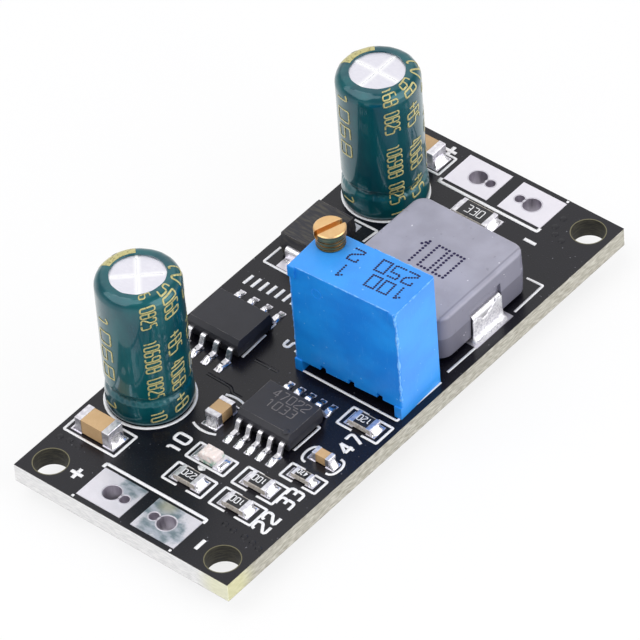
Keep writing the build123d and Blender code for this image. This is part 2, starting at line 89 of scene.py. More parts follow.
# Capacitors: heights above the can's foot
sleeve_wall = 0.12
groove_z = 2.28
groove_half = 0.58
groove_depth = 0.2
foot_shape = ((-0.05, 0.0), (0.03, 0.12), (0.07, 0.3), (0.085, 0.6), (0.085, 0.9), (0.07, 1.2),
              (0.035, 1.45), (0.0, 1.7))
shoulder_z = 11.13
shoulder_r = 0.88
lip_r = 2.08
sleeve_turns = 260
gold_lift = 0.012
gold_stripe = 3.4
score_turns = {"input_capacitor_can": 43.0, "battery_capacitor_can": 0.0}

# Solder and leads
lead_radius = 0.25
lead_hole = 0.45
land_out = 0.42
leaded_chips = ("mosfet", "controller")
shortest_lead_land = 1.2

# Trimmer and its screw
trimmer_turn = 2.8
trimmer_wall = -2.285
trimmer_end = -4.74
screw_axis = (0.553, -1.028)


def span(node):
    """Lowest and highest corner of a frame node, in millimetres."""
    low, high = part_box(node)
    return np.array(low) / mm, np.array(high) / mm


def middle(node):
    """Centre of a frame node's box, in millimetres."""
    low, high = span(node)
    return (low + high) / 2


board_low, board_high = span("circuit_board")
board_top = board_high[2]
board_t = board_high[2] - board_low[2]
lead_tip = min(span("solder_joints")[0][2], span("input_capacitor_leads")[0][2])


# Node trees

class Signal:
    """One socket of a node tree. An expression on signals adds the Math nodes that it needs."""

    def __init__(self, sheet, socket):
        self.sheet = sheet
        self.socket = socket

    def maths(self, operation, *values):
        return self.sheet.maths(operation, self, *values)

    def __add__(self, other):
        return self.maths("ADD", other)

    def __radd__(self, other):
        return self.sheet.maths("ADD", other, self)

    def __sub__(self, other):
        return self.maths("SUBTRACT", other)

    def __rsub__(self, other):
        return self.sheet.maths("SUBTRACT", other, self)

    def __mul__(self, other):
        return self.maths("MULTIPLY", other)

    def __rmul__(self, other):
        return self.sheet.maths("MULTIPLY", other, self)

    def __abs__(self):
        return self.maths("ABSOLUTE")

    def step(self, low, high):
        """Rises smoothly from 0 at low to 1 at high."""
        return self.sheet.node(
            "ShaderNodeMapRange", {"interpolation_type": "SMOOTHSTEP"},
            {"Value": self, "From Min": low, "From Max": high},
        )


class Sheet:
    """A node tree under construction. Every node comes from node()."""

    def __init__(self, tree):
        self.tree = tree

    def node(self, kind, settings=None, inputs=None, output=0):
        """Adds a node, sets its settings and then its sockets, and returns one output."""
        new = self.tree.nodes.new(kind)
        for key, value in (settings or {}).items():
            setattr(new, key, value)
        for key, value in (inputs or {}).items():
            if isinstance(value, Signal):
                self.tree.links.new(value.socket, new.inputs[key])
            else:
                new.inputs[key].default_value = value
        return Signal(self, new.outputs[output])

    def maths(self, operation, *values):
        return self.node("ShaderNodeMath", {"operation": operation}, dict(enumerate(values)))


def paint(red, green, blue):
    """A colour as seen on screen, 0 to 255, made linear for a socket."""
    shares = [channel / 255 for channel in (red, green, blue)]
    linear = [s / 12.92 if s <= 0.04045 else ((s + 0.055) / 1.055) ** 2.4 for s in shares]
    return (*linear, 1.0)


class Finish(Sheet):
    """One material. Its place signal is the object's own coordinates in millimetres."""

    def __init__(self, name, constants):
        self.material = bpy.data.materials.new(name)
        self.material.use_nodes = True
        super().__init__(self.material.node_tree)
        self.shader = self.tree.nodes["Principled BSDF"]
        for key, value in constants.items():
            self.shader.inputs[key].default_value = value
        spot = self.node("ShaderNodeTexCoord", output="Object")
        self.place = self.stretch(spot, (1 / mm, 1 / mm, 1 / mm))

    def stretch(self, vector, factors):
        return self.node(
            "ShaderNodeVectorMath", {"operation": "MULTIPLY"}, {0: vector, 1: factors}
        )

    def axis(self, index):
        return self.node("ShaderNodeSeparateXYZ", inputs={0: self.place}, output=index)

    def turned_axes(self, centre, degrees):
        """Places along and across a line through a centre, turned by so many degrees."""
        cos, sin = math.cos(math.radians(degrees)), math.sin(math.radians(degrees))
        x, y = self.axis(0) - centre[0], self.axis(1) - centre[1]
        return x * cos + y * sin, y * cos - x * sin

    def distance(self, point, place=None):
        """Distance of a place from a point, in millimetres."""
        sockets = {0: place or self.place, 1: point}
        return self.node("ShaderNodeVectorMath", {"operation": "DISTANCE"}, sockets, "Value")

    def noise(self, scale, detail=2.0, factors=(1, 1, 1)):
        """Soft noise, 0 to 1, with scale waves to the millimetre."""
        vector = self.stretch(self.place, factors)
        sockets = {"Vector": vector, "Scale": scale, "Detail": detail}
        return self.node("ShaderNodeTexNoise", {}, sockets)

    def cells(self, scale):
        """Distance field of scattered cells, scale to the millimetre."""
        sockets = {"Vector": self.place, "Scale": scale}
        return self.node("ShaderNodeTexVoronoi", {}, sockets, "Distance")

    def mix(self, factor, *colours):
        """A colour between two, each a signal or a plain (red, green, blue)."""
        first, second = (c if isinstance(c, Signal) else paint(*c) for c in colours)
        sockets = {0: factor, 6: first, 7: second}
        return self.node("ShaderNodeMix", {"data_type": "RGBA"}, sockets, 2)

    def wire(self, name, signal):
        self.tree.links.new(signal.socket, self.shader.inputs[name])

    def complete(self, colour, roughness=None, height=None, depth=0.0, rounding=0.0):
        """The finished material: a colour, a roughness, and bumps of a depth from a height.

        Rounding makes the edges look rounded by that radius.
        """
        self.wire("Base Color", colour)
        if roughness:
            self.wire("Roughness", roughness)
        if height:
            sockets = {"Height": height, "Distance": depth * mm}
            if rounding:
                radius = {"Radius": rounding * mm}
                sockets["Normal"] = self.node("ShaderNodeBevel", {"samples": 6}, radius)
            self.wire("Normal", self.node("ShaderNodeBump", {}, sockets))
        return self.material


def grained(name, constants, noise, colours, roughness=(), relief=(), steps=()):
    """A finish of one noise that blends two colours. Its roughness is a base and a spread."""
    f = Finish(name, constants)
    grain = f.noise(*noise)
    colour = f.mix(grain.step(*steps) if steps else grain, *colours)
    rough = roughness[0] + grain * roughness[1] if roughness else None
    return f.complete(colour, rough, grain if relief else None, *relief)


class Growth(Sheet):
    """A Geometry Nodes tree with named inputs. It ends in real geometry and one material."""

    def __init__(self, name, sizes):
        super().__init__(bpy.data.node_groups.new(name, "GeometryNodeTree"))
        face = self.tree.interface
        face.new_socket(name="Geometry", in_out="INPUT", socket_type="NodeSocketGeometry")
        for size in sizes:
            face.new_socket(name=size, in_out="INPUT", socket_type="NodeSocketFloat")
        face.new_socket(name="Material", in_out="INPUT", socket_type="NodeSocketMaterial")
        face.new_socket(name="Geometry", in_out="OUTPUT", socket_type="NodeSocketGeometry")
        self.entry = self.tree.nodes.new("NodeGroupInput")

    def given(self, name):
        return Signal(self, self.entry.outputs[name])

    def lines(self):
        """The base mesh's edges as curves."""
        return self.node("GeometryNodeMeshToCurve", inputs={"Mesh": self.given("Geometry")})

    def end(self, geometry):
        real = self.node("GeometryNodeRealizeInstances", inputs={0: geometry})
        sockets = {"Geometry": real, "Material": self.given("Material")}
        done = self.node("GeometryNodeSetMaterial", inputs=sockets)
        leave = self.tree.nodes.new("NodeGroupOutput")
        self.tree.links.new(done.socket, leave.inputs["Geometry"])
        return self


# Finishes

def board_finish():
    """Glossy black solder mask on both faces, and cut glass-fibre laminate at the edges, with painted
    shade on the walls of the mounting holes.
    """
    f = Finish("black_mask_on_laminate", {"Specular IOR Level": 0.42})
    height = abs(f.axis(2) - board_t / 2)
    face = height.step(board_t / 2 - 0.02, board_t / 2 - 0.01)
    mottle = f.noise(1.1, 3.0)
    grain = f.noise(9.0, 4.0)
    dust = f.noise(4.2, 1.0).step(0.77, 0.79)
    mask = f.mix(mottle, (11, 10, 18), (18, 17, 27))
    mask = f.mix(dust * 0.4, mask, (150, 150, 160))
    streak = f.noise(2.8, 5.0, (0.6, 0.6, 4)).step(0.34, 0.68)
    # The ends are paler than the long sides.
    ends = abs(f.axis(0)).step(board_high[0] - 0.06, board_high[0] - 0.03)
    side = f.mix(streak, (150, 146, 132), (200, 197, 186))
    end = f.mix(streak, (224, 224, 224), (247, 246, 245))
    laminate = f.mix(ends, side, end)
    corner = 1 - f.distance((board_low[0], board_low[1], board_t / 2)).step(1.2, 3.2)
    laminate = f.mix(corner * 0.5, laminate, (226, 224, 160))
    for x, y, radius in mounting_holes():
        # Painted shade: the laminate on the walls of the mounting holes is painted dark olive, far
        # darker than at the board's edges.
        wall = 1 - f.distance((x, y, board_t / 2)).step(radius + 0.3, radius + 0.34)
        laminate = f.mix(wall, laminate, f.mix(streak, (30, 29, 23), (64, 61, 48)))
        rim = 1 - f.distance((x, y, board_top)).step(radius + 0.04, radius + 0.09)
        mask = f.mix(rim, mask, (112, 107, 80))
    colour = f.mix(face, laminate, mask)
    return f.complete(
        colour,
        0.62 - face * (0.4 - grain * 0.08),
        grain * (1 - face * 0.92) + mottle * 0.12, 0.02,
    )


def tin_finish():
    """Levelled tin on the bare pads: lilac white, with teal-grey stains at the input end."""
    f = Finish("levelled_tin", {"Metallic": 1.0})
    grain = f.noise(7.0, 5.0)
    cloud = f.noise(1.1, 4.0)
    stain = 0.0
    for x, y, reach in tin_stains:
        spot = 1 - f.distance((x, y, board_top)).step(0.0, reach)
        stain = spot.maths("MAXIMUM", stain)
    patchy = stain * 1.5 + (cloud - 0.5) * 1.8 + (grain - 0.5) * 0.6
    stain = patchy.step(0.1, 1.0) * stain.step(0.0, 0.3)
    bright = f.mix(cloud, (232, 229, 238), (244, 241, 248))
    streak = f.noise(2.6, 5.0, (1, 0.45, 1))
    dull = f.mix(streak.step(0.34, 0.66), (112, 134, 142), (184, 191, 201))
    tinge = 1 - f.distance((*tinge_place, board_top)).step(0.2, 1.1)
    dull = f.mix(tinge * 0.55, dull, (172, 170, 124))
    colour = f.mix(stain * 0.9, bright, dull)
    return f.complete(colour, 0.4 + stain * 0.14 + grain * 0.12, grain * 0.35 + cloud, 0.025)


def barrel_finish():
    """Plated wall of a wire hole: grey tin with a violet cast, painted darker as shade down in the
    hole, and painted brighter at its rim as a highlight.
    """
    f = Finish("plated_barrel", {"Metallic": 0.75})
    streak = f.noise(5.0, 3.0, (1, 1, 0.3))
    # Painted shade and highlight: the wall down in the hole is painted a darker grey than the pads'
    # tin, and its rim is painted brighter.
    rim = abs(f.axis(2) - board_t / 2).step(board_t / 2 + 0.035, board_t / 2 + 0.055)
    wall = f.mix(streak, (156, 149, 162), (212, 206, 218))
    return f.complete(f.mix(rim, wall, (214, 211, 220)), 0.34 + streak * 0.16, streak, 0.02)


def solder_finish(name, dullness=0.0):
    """Reflowed solder, smooth, with a few flecks. Dullness spreads its reflections."""
    f = Finish(name, {"Metallic": 1.0 - dullness})
    swell = f.noise(1.3, 1.0)
    fleck = f.noise(7.0, 3.0)
    colour = f.mix(fleck.step(0.36, 0.6), (214, 212, 220), (250, 249, 252))
    return f.complete(
        colour,
        0.12 + dullness + fleck * 0.2,
        swell + fleck * 0.1, 0.045 * (1 - dullness * 2),
    )


def lead_finish():
    """Matt tin plating on pressed leads."""
    return grained("tin_plated_lead", {"Metallic": 1.0}, (9.0, 4.0),
                   ((222, 219, 226), (250, 249, 252)), (0.22, 0.2), (0.02, 0.04))


def chip_end_finish():
    """Plated ends of the chip parts, with solder drawn up over them."""
    f = Finish("plated_chip_end", {"Metallic": 1.0})
    wave = f.noise(3.4, 3.0)
    fleck = f.noise(12.0, 4.0)
    colour = f.mix(wave.step(0.3, 0.7), (216, 213, 222), (249, 248, 252))
    return f.complete(colour, 0.28 + fleck * 0.2, wave + fleck * 0.2, 0.03, 0.05)


def can_finish():
    """Deep drawn aluminium. The scored top has fine grain and pale bands beside its cuts."""
    f = Finish("drawn_aluminium", {})
    whole = 1.0
    grain = f.noise(9.0, 4.0, (1, 0.3, 1))
    blotch = f.noise(2.4, 3.0)
    colour = f.mix(grain * 0.6 + blotch * 0.4, (221, 219, 231), (245, 244, 250))
    for node, turn in score_turns.items():
        x, y, _ = middle(node)
        along, across = f.turned_axes((x, y), turn)
        line = abs(along).maths("MINIMUM", abs(across))
        inside = 1 - f.distance((x, y, span(node)[1][2])).step(1.9, 2.3)
        beside = (1 - line.step(0.06, 0.4)) * inside
        cut = (1 - line.step(0.09, 0.12)) * inside
        whole = whole - cut * 0.85
        colour = f.mix(beside * 0.8, colour, (254, 254, 255))
    f.wire("Metallic", whole)
    return f.complete(colour, 0.4 + grain * 0.16, grain + blotch * 0.6, 0.008)


def sleeve_finish():
    """Shrunk teal film over bright metal: glossy, with reflections tinted by the film."""
    f = Finish("teal_film", {"Coat Weight": 0.7, "Coat Roughness": 0.035, "Metallic": 0.32,
                             "Specular IOR Level": 0.3})
    cloud = f.noise(0.5, 3.0, (1, 1, 0.4))
    dust = f.noise(8.0, 2.0).step(0.72, 0.78)
    film = f.mix(cloud.step(0.3, 0.7), (0, 73, 85), (3, 93, 100))
    colour = f.mix(dust * 0.35, film, (90, 160, 166))
    return f.complete(colour, 0.24 + cloud * 0.1, f.noise(1.6, 2.0), 0.012)


def gold_finish():
    """Gold ink, flat and slightly worn."""
    constants = {"Metallic": 0.2, "Coat Weight": 0.5, "Coat Roughness": 0.06}
    return grained("gold_ink", constants, (6.0, 4.0), ((138, 132, 78), (194, 186, 124)),
                   (0.32, 0.2), steps=(0.3, 0.5))


def minus_finish():
    """Bare teal film inside the gold stripe."""
    constants = {"Coat Weight": 0.8, "Coat Roughness": 0.05, "Roughness": 0.3}
    return grained("minus_mark", constants, (1.5, 3.0), ((4, 66, 72), (8, 84, 86)))


def rubber_finish():
    """Dark end seal of the capacitors."""
    return grained("seal_rubber", {"Specular IOR Level": 0.3}, (6.0, 4.0),
                   ((22, 22, 24), (38, 37, 39)), (0.7, 0.15), (0.02,))


def blue_finish():
    """Moulded blue resin of the trimmer, with fine scratches; its top and outer end are painted paler
    as painted light.
    """
    f = Finish("moulded_blue", {"Coat Weight": 0.08, "Coat Roughness": 0.3,
                                "Specular IOR Level": 0.4})
    flow = f.noise(0.28, 3.0, (1, 1, 1.6))
    pits = f.noise(7.0, 3.0)
    fleck = f.noise(2.6, 1.0).step(0.75, 0.77)
    scratch = 1 - abs(f.noise(0.9, 2.0, (3, 3, 0.25)) - 0.5).step(0.002, 0.006)
    body = f.mix(flow.step(0.3, 0.7), (4, 128, 228), (20, 149, 243))
    _, across = f.turned_axes(middle("trimmer_housing"), trimmer_turn)
    top = span("trimmer_housing")[1][2]
    # Painted light: the top and the outer end, where the light falls most, are painted a paler blue.
    painted_end_light = 1 - across.step(trimmer_end, trimmer_end + 0.08)
    skin = painted_end_light.maths("MAXIMUM", f.axis(2).step(top - 0.06, top - 0.01))
    body = f.mix(skin * 0.32, body, (92, 172, 250))
    body = f.mix(scratch * 0.16, body, (120, 190, 255))
    colour = f.mix(fleck * 0.5, body, (150, 205, 255))
    return f.complete(colour, 0.34 + pits * 0.12, pits * 0.3 + flow, 0.02, 0.07)


def flash_finish():
    """Thin torn flash and scuffs on the trimmer's edges: pale blue."""
    return grained("blue_flash", {"Roughness": 0.4}, (5.0, 3.0),
                   ((58, 150, 246), (122, 190, 254)), steps=(0.3, 0.62))


def resin_finish():
    """Dark resin that seals the trimmer's underside."""
    return grained("sealing_resin", {"Specular IOR Level": 0.4}, (4.0, 4.0),
                   ((14, 14, 17), (28, 28, 33)), (0.4, 0.2), (0.05,))


def brass_finish():
    """Turned brass: pale on top and in the slot, and painted darker and browner down the ringed side as
    painted shade.
    """
    f = Finish("turned_brass", {"Metallic": 1.0})
    rings = f.noise(3.0, 2.0, (0.15, 0.15, 6))
    haze = f.noise(2.2, 4.0)
    bright = f.mix(haze, (224, 178, 122), (242, 207, 156))
    top = span("trimmer_screw")[1][2]
    out = f.distance((*screw_axis, 0), f.stretch(f.place, (1, 1, 0)))
    # Painted shade: the ringed side is painted darker and browner than the top.
    side = out.step(0.96, 1.0) * (1 - f.axis(2).step(top - 0.12, top - 0.07))
    shaded_brass = f.mix(rings.step(0.3, 0.7), (104, 84, 54), (196, 156, 100))
    colour = f.mix(side, bright, shaded_brass)
    return f.complete(colour, 0.28 + haze * 0.16, rings + haze * 0.5, 0.012, 0.03)


def powder_finish():
    """Pressed iron powder under a violet-grey lacquer, with a seam, pits and specks, and painted shade:
    darker sides and a shadow line near the top edge.
    """
    f = Finish("pressed_powder", {"Specular IOR Level": 0.5})
    cloud = f.noise(0.45, 4.0)
    fine = f.noise(13.0, 3.0)
    pit = f.noise(2.2, 1.0).step(0.72, 0.76)
    speck = f.noise(2.9, 1.0).step(0.77, 0.79)
    low, high = span("inductor_body")
    seam = (low[2] + high[2]) / 2
    upper = f.axis(2).step(seam - 0.03, seam + 0.03)
    grey = f.mix(cloud.step(0.3, 0.7), (152, 151, 166), (166, 165, 181))
    # Painted shade: the sides below the top are painted darker than the top.
    side = 1 - f.axis(2).step(high[2] - 0.26, high[2] - 0.08)
    grey = f.mix(side * 0.8, grey, (112, 111, 127))
    grey = f.mix((1 - upper) * 0.55, grey, (84, 83, 96))
    grey = f.mix((1 - abs(f.axis(2) - seam).step(0.02, 0.07)) * 0.4, grey, (96, 94, 108))
    # Painted shadow: a darker line on the top, a little in from its -Y edge.
    edge_shadow_line = 1 - abs(f.axis(1) - low[1] - 0.42 - cloud * 0.12).step(0.03, 0.12)
    edge_shadow_line = edge_shadow_line * f.axis(2).step(high[2] - 0.4, high[2] - 0.2)
    grey = f.mix(edge_shadow_line * 0.42, grey, (98, 96, 110))
    grey = f.mix(pit * 0.25, grey, (100, 99, 110))
    colour = f.mix(speck * 0.7, grey, (236, 236, 242))
    return f.complete(colour, 0.36 + fine * 0.1, fine * 0.1 + cloud * 0.4 - pit * 0.2, 0.02, 0.1)


def moulding_finish():
    """Black epoxy of the chips and the diode, with moulding grain. The diode's has streaks."""
    f = Finish("black_epoxy", {"Specular IOR Level": 0.5})
    grain = f.noise(12.0, 4.0)
    cloud = f.noise(0.8, 2.0)
    streak = f.noise(2.4, 4.0, (2.2, 0.4, 1)).step(0.42, 0.68)
    on_diode = f.axis(0).step(3.0, 4.0)
    body = f.mix(grain * 0.5 + cloud * 0.5, (28, 28, 34), (48, 48, 57))
    colour = f.mix(streak * on_diode * 0.45, body, (94, 88, 74))
    return f.complete(colour, 0.44 + grain * 0.12, grain, 0.012, 0.05)


def coat_finish():
    """Black glass coat on the resistors."""
    return grained("resistor_coat", {"Specular IOR Level": 0.55}, (10.0, 3.0),
                   ((16, 16, 20), (34, 34, 40)), (0.26, 0.14), (0.01, 0.04))


def white_ceramic_finish():
    """Alumina blocks of the resistors, with dusty grey-tan sides."""
    return grained("alumina", {}, (6.0, 4.0), ((168, 158, 146), (212, 206, 200)),
                   (0.5, 0.2), (0.02, 0.03), (0.3, 0.7))


def tan_ceramic_finish():
    """Tan body of the ceramic capacitors."""
    f = Finish("tan_ceramic", {"Specular IOR Level": 0.5})
    grain = f.noise(7.0, 4.0)
    cloud = f.noise(1.3, 2.0)
    colour = f.mix(cloud * 0.6 + grain * 0.4, (190, 152, 104), (216, 182, 138))
    return f.complete(colour, 0.34 + grain * 0.16, grain, 0.012, 0.04)


def lens_finish():
    """Milky lens of the indicator, pinkish and crystalline, with green at its corners."""
    f = Finish("milky_lens", {"Coat Weight": 0.3, "Coat Roughness": 0.08})
    crystal = f.cells(3.2)
    fine = f.noise(7.0, 4.0)
    tint = f.mix(crystal.step(0.1, 0.5), (253, 251, 249), (244, 229, 224))
    tint = f.mix(fine.step(0.52, 0.7) * 0.6, tint, (252, 250, 248))
    low, high = span("lamp_lens")
    for x, y in ((high[0], low[1]), (low[0], low[1]), (high[0], high[1])):
        corner = 1 - f.distance((x, y, low[2])).step(0.12, 0.42)
        tint = f.mix(corner * fine.step(0.3, 0.5) * 0.6, tint, (66, 168, 140))
    return f.complete(tint, 0.22 + fine * 0.3, crystal + fine * 0.5, 0.1, 0.08)


def lamp_base_finish():
    """White laminate of the indicator's base, with green at its corners."""
    f = Finish("lamp_laminate", {})
    grain = f.noise(8.0, 3.0)
    green = f.noise(1.8, 1.0).step(0.42, 0.58)
    white = f.mix(grain, (206, 204, 196), (236, 234, 228))
    return f.complete(f.mix(green * 0.7, white, (60, 160, 136)), 0.4 + grain * 0.2)


def print_finish():
    """White legend ink."""
    return grained("legend_ink", {"Specular IOR Level": 0.35}, (9.0, 4.0),
                   ((236, 236, 240), (250, 250, 252)), (0.5, 0.2), (0.01,))


def dark_ink_finish():
    """Dark ink of the dotted marks."""
    return grained("dark_ink", {"Specular IOR Level": 0.3}, (14.0, 3.0),
                   ((24, 18, 52), (44, 34, 82)), (0.5, 0.2))


def faint_ink_finish():
    """Laser marks on the chips: only a little paler than the moulding."""
    return grained("faint_mark", {"Specular IOR Level": 0.4}, (14.0, 3.0),
                   ((92, 89, 92), (136, 131, 130)), (0.6, 0.2), steps=(0.3, 0.7))


def mounting_holes():
    """Centre and radius of each mounting hole."""
    x = board_high[0] - hole_from_end
    y = board_high[1] - hole_from_side
    return [(-x, y, hole_radius), (-x, -y, hole_radius), (x, -y, hole_radius)]


finishes = {
    "board": board_finish(),
    "tinned_copper": tin_finish(),
    "solder": solder_finish("bright_solder"),
    "can_aluminium": can_finish(),
    "sleeve": sleeve_finish(),
    "bung_rubber": rubber_finish(),
    "tinned_lead": lead_finish(),
    "chip_end_metal": chip_end_finish(),
    "trimmer_blue": blue_finish(),
    "sealing_resin": resin_finish(),
    "screw_brass": brass_finish(),
    "inductor_powder": powder_finish(),
    "moulding_black": moulding_finish(),
    "resistor_coat": coat_finish(),
    "lamp_lens": lens_finish(),
    "lamp_base": lamp_base_finish(),
    "tan_ceramic": tan_ceramic_finish(),
    "white_ceramic": white_ceramic_finish(),
}
gold = gold_finish()
minus = minus_finish()
dull_solder = solder_finish("drawn_solder", 0.24)
legend = print_finish()
dark_ink = dark_ink_finish()
faint_ink = faint_ink_finish()
barrel = barrel_finish()
flash = flash_finish()

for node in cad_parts.values():
    for place in node.material_slots:
        place.material = finishes[place.material.name.split(".")[0]]


# Strokes of plain digits and marks, in a cell 1 wide and 1.6 high. True closes a stroke.
glyphs = {
    "0": [([(0, 0), (1, 0), (1, 1.6), (0, 1.6)], True)],
    "1": [([(0.2, 1.25), (0.6, 1.6), (0.6, 0)], False)],
    "2": [([(0, 1.25), (0, 1.6), (1, 1.6), (1, 0.95), (0, 0.3), (0, 0), (1, 0)], False)],
    "3": [([(0, 1.6), (1, 1.6), (1, 0.85), (0.4, 0.85)], False),
          ([(1, 0.85), (1, 0), (0, 0)], False)],
    "4": [([(0.75, 0), (0.75, 1.6)], False), ([(0.75, 1.6), (0.0, 0.45)], False),
          ([(0.0, 0.45), (1, 0.45)], False)],
    "5": [([(0.95, 1.6), (0.05, 1.6), (0.05, 0.95), (1, 0.95), (1, 0), (0, 0)], False)],
    "6": [([(0.9, 1.6), (0, 1.6), (0, 0), (1, 0), (1, 0.85), (0, 0.85)], False)],
    "7": [([(0, 1.6), (1, 1.6), (0.35, 0)], False)],
    "8": [([(0, 0), (1, 0), (1, 1.6), (0, 1.6)], True), ([(0, 0.85), (1, 0.85)], False)],
    "9": [([(0.1, 0), (1, 0), (1, 1.6), (0, 1.6), (0, 0.75), (1, 0.75)], False)],
    "+": [([(0, 0.8), (1, 0.8)], False), ([(0.5, 0.3), (0.5, 1.3)], False)],
    "-": [([(0, 0.8), (1, 0.8)], False)],
}
cell_height = 1.6
cell_pitch = 1.45

# Numbers on the resistors: those on short chips are smallest, and a long chip's run the other way
resistor_numbers = {"lamp": "220", "divider": "100", "filter": "470", "feedback": "120",
                    "sense": "330"}
short_chip = 1.8
long_chip = 2.5


def written(text, height, slim=1.0):
    """Strokes of a row of marks along X from the origin, as (points, closed) pairs."""
    scale = height / cell_height
    rows = []
    for i, mark in enumerate(text):
        for points, closed in glyphs.get(mark, ()):
            shifted = [((x + i * cell_pitch) * slim * scale, y * scale) for x, y in points]
            rows.append((shifted, closed))
    return rows


def turned(x, y, centre, degrees):
    """The point at x and y from a centre, in axes turned by so many degrees."""
    cos, sin = math.cos(math.radians(degrees)), math.sin(math.radians(degrees))
    return centre[0] + x * cos - y * sin, centre[1] + x * sin + y * cos


def centred(text, height, centre, degrees=0.0, slim=1.0):
    """A written row with its middle at centre, turned by so many degrees."""
    length = ((len(text) - 1) * cell_pitch + 1) * slim * height / cell_height
    rows = []
    for points, closed in written(text, height, slim):
        place = [turned(x - length / 2, y - height / 2, centre, degrees) for x, y in points]
        rows.append((place, closed))
    return rows


def marks(*rows):
    """Strokes of several centred rows."""
    return [stroke for row in rows for stroke in centred(*row)]


def line(*points):
    """One open stroke."""
    return [(list(points), False)]


# Meshes

def link(name, mesh):
    piece = bpy.data.objects.new(name, mesh)
    bpy.context.scene.collection.objects.link(piece)
    return piece


def dress(piece, body="module"):
    """Hands a finished piece to the body that carries it."""
    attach(piece, body)
    return piece


def smooth(mesh, sharp_angle):
    mesh.polygons.foreach_set("use_smooth", [True] * len(mesh.polygons))
    mesh.set_sharp_from_angle(angle=math.radians(sharp_angle))


def solid(name, parts, material, sharp_angle=60):
    """One piece made of closed (points, faces) parts, with its points in millimetres."""
    points, faces = [], []
    for part_points, part_faces in parts:
        first = len(points)
        points += list(part_points)
        faces += [tuple(first + i for i in face) for face in part_faces]
    mesh = bpy.data.meshes.new(name)
    mesh.from_pydata((np.array(points, float) * mm).tolist(), [], faces)
    mesh.validate()
    mesh.materials.append(material)
    smooth(mesh, sharp_angle)
    return dress(link(name, mesh))


def ring_faces(turns, loop):
    """Quads of a closed loop carried once round, loop points fastest."""
    return [
        (i * loop + j, ((i + 1) % turns) * loop + j,
         ((i + 1) % turns) * loop + (j + 1) % loop, i * loop + (j + 1) % loop)
        for i in range(turns) for j in range(loop)
    ]


def outward(points, faces):
    """The same closed skin, turned so that its faces point out."""
    spots = np.array(points, float)
    fans = np.array([(f[0], f[k], f[k + 1]) for f in faces for k in range(1, len(f) - 1)])
    a, b, c = spots[fans[:, 0]], spots[fans[:, 1]], spots[fans[:, 2]]
    volume = float((a * np.cross(b, c)).sum())
    return points, faces if volume > 0 else [tuple(face)[::-1] for face in faces]


def shell(front, back, columns=14, rows=12):
    """A closed skin between two sheets, each given as a point for u and v from -1 to 1."""
    cells = [(2 * i / columns - 1, 2 * j / rows - 1)
             for i in range(columns + 1) for j in range(rows + 1)]
    points = [front(u, v) for u, v in cells] + [back(u, v) for u, v in cells]
    count = len(cells)
    faces = []
    for i in range(columns):
        for j in range(rows):
            a = i * (rows + 1) + j
            face = (a, a + rows + 1, a + rows + 2, a + 1)
            faces += [face, tuple(count + k for k in face[::-1])]
    rim = [i * (rows + 1) for i in range(columns)]
    rim += [columns * (rows + 1) + j for j in range(rows)]
    rim += [i * (rows + 1) + rows for i in range(columns, 0, -1)]
    rim += [j for j in range(rows, 0, -1)]
    faces += [(b, a, a + count, b + count) for a, b in zip(rim, rim[1:] + rim[:1])]
    return outward(points, faces)


def lathe(loop, centre, turns=36):
    """A closed skin: loop(angle) gives the radius and height of each point of its section."""
    points = []
    for angle in np.linspace(0, 2 * math.pi, turns, endpoint=False):
        section = loop(angle)
        points += [(centre[0] + r * math.cos(angle), centre[1] + r * math.sin(angle), z)
                   for r, z in section]
    return outward(points, ring_faces(turns, len(section)))


# Geometry Nodes

def ribbon_growth():
    """Flat ribbons along the edges of a mesh, with rounded corners."""
    g = Growth("ribbon", ("Width", "Height", "Corner", "Step"))
    corner = {"Curve": g.lines(), "Count": 5, "Radius": g.given("Corner"), "Limit Radius": True}
    eased = g.node("GeometryNodeFilletCurve", {"mode": "POLY"}, corner)
    sockets = {"Curve": eased, "Length": g.given("Step")}
    even = g.node("GeometryNodeResampleCurve", {"mode": "LENGTH"}, sockets)
    rail = g.node("GeometryNodeSetCurveNormal", {"mode": "Z_UP"}, {"Curve": even})
    sides = {"Width": g.given("Width"), "Height": g.given("Height")}
    outline = g.node("GeometryNodeCurvePrimitiveQuadrilateral", {"mode": "RECTANGLE"}, sides)
    sockets = {"Curve": rail, "Profile Curve": outline, "Fill Caps": True}
    return g.end(g.node("GeometryNodeCurveToMesh", inputs=sockets))


def dot_growth():
    """Low round dots at even steps along the edges of a mesh."""
    g = Growth("dots", ("Pitch", "Radius", "Height"))
    sockets = {"Curve": g.lines(), "Length": g.given("Pitch")}
    spots = g.node("GeometryNodeCurveToPoints", {"mode": "LENGTH"}, sockets)
    sockets = {"Vertices": 10, "Radius": g.given("Radius"), "Depth": g.given("Height")}
    dot = g.node("GeometryNodeMeshCylinder", inputs=sockets)
    return g.end(g.node("GeometryNodeInstanceOnPoints", inputs={"Points": spots, "Instance": dot}))


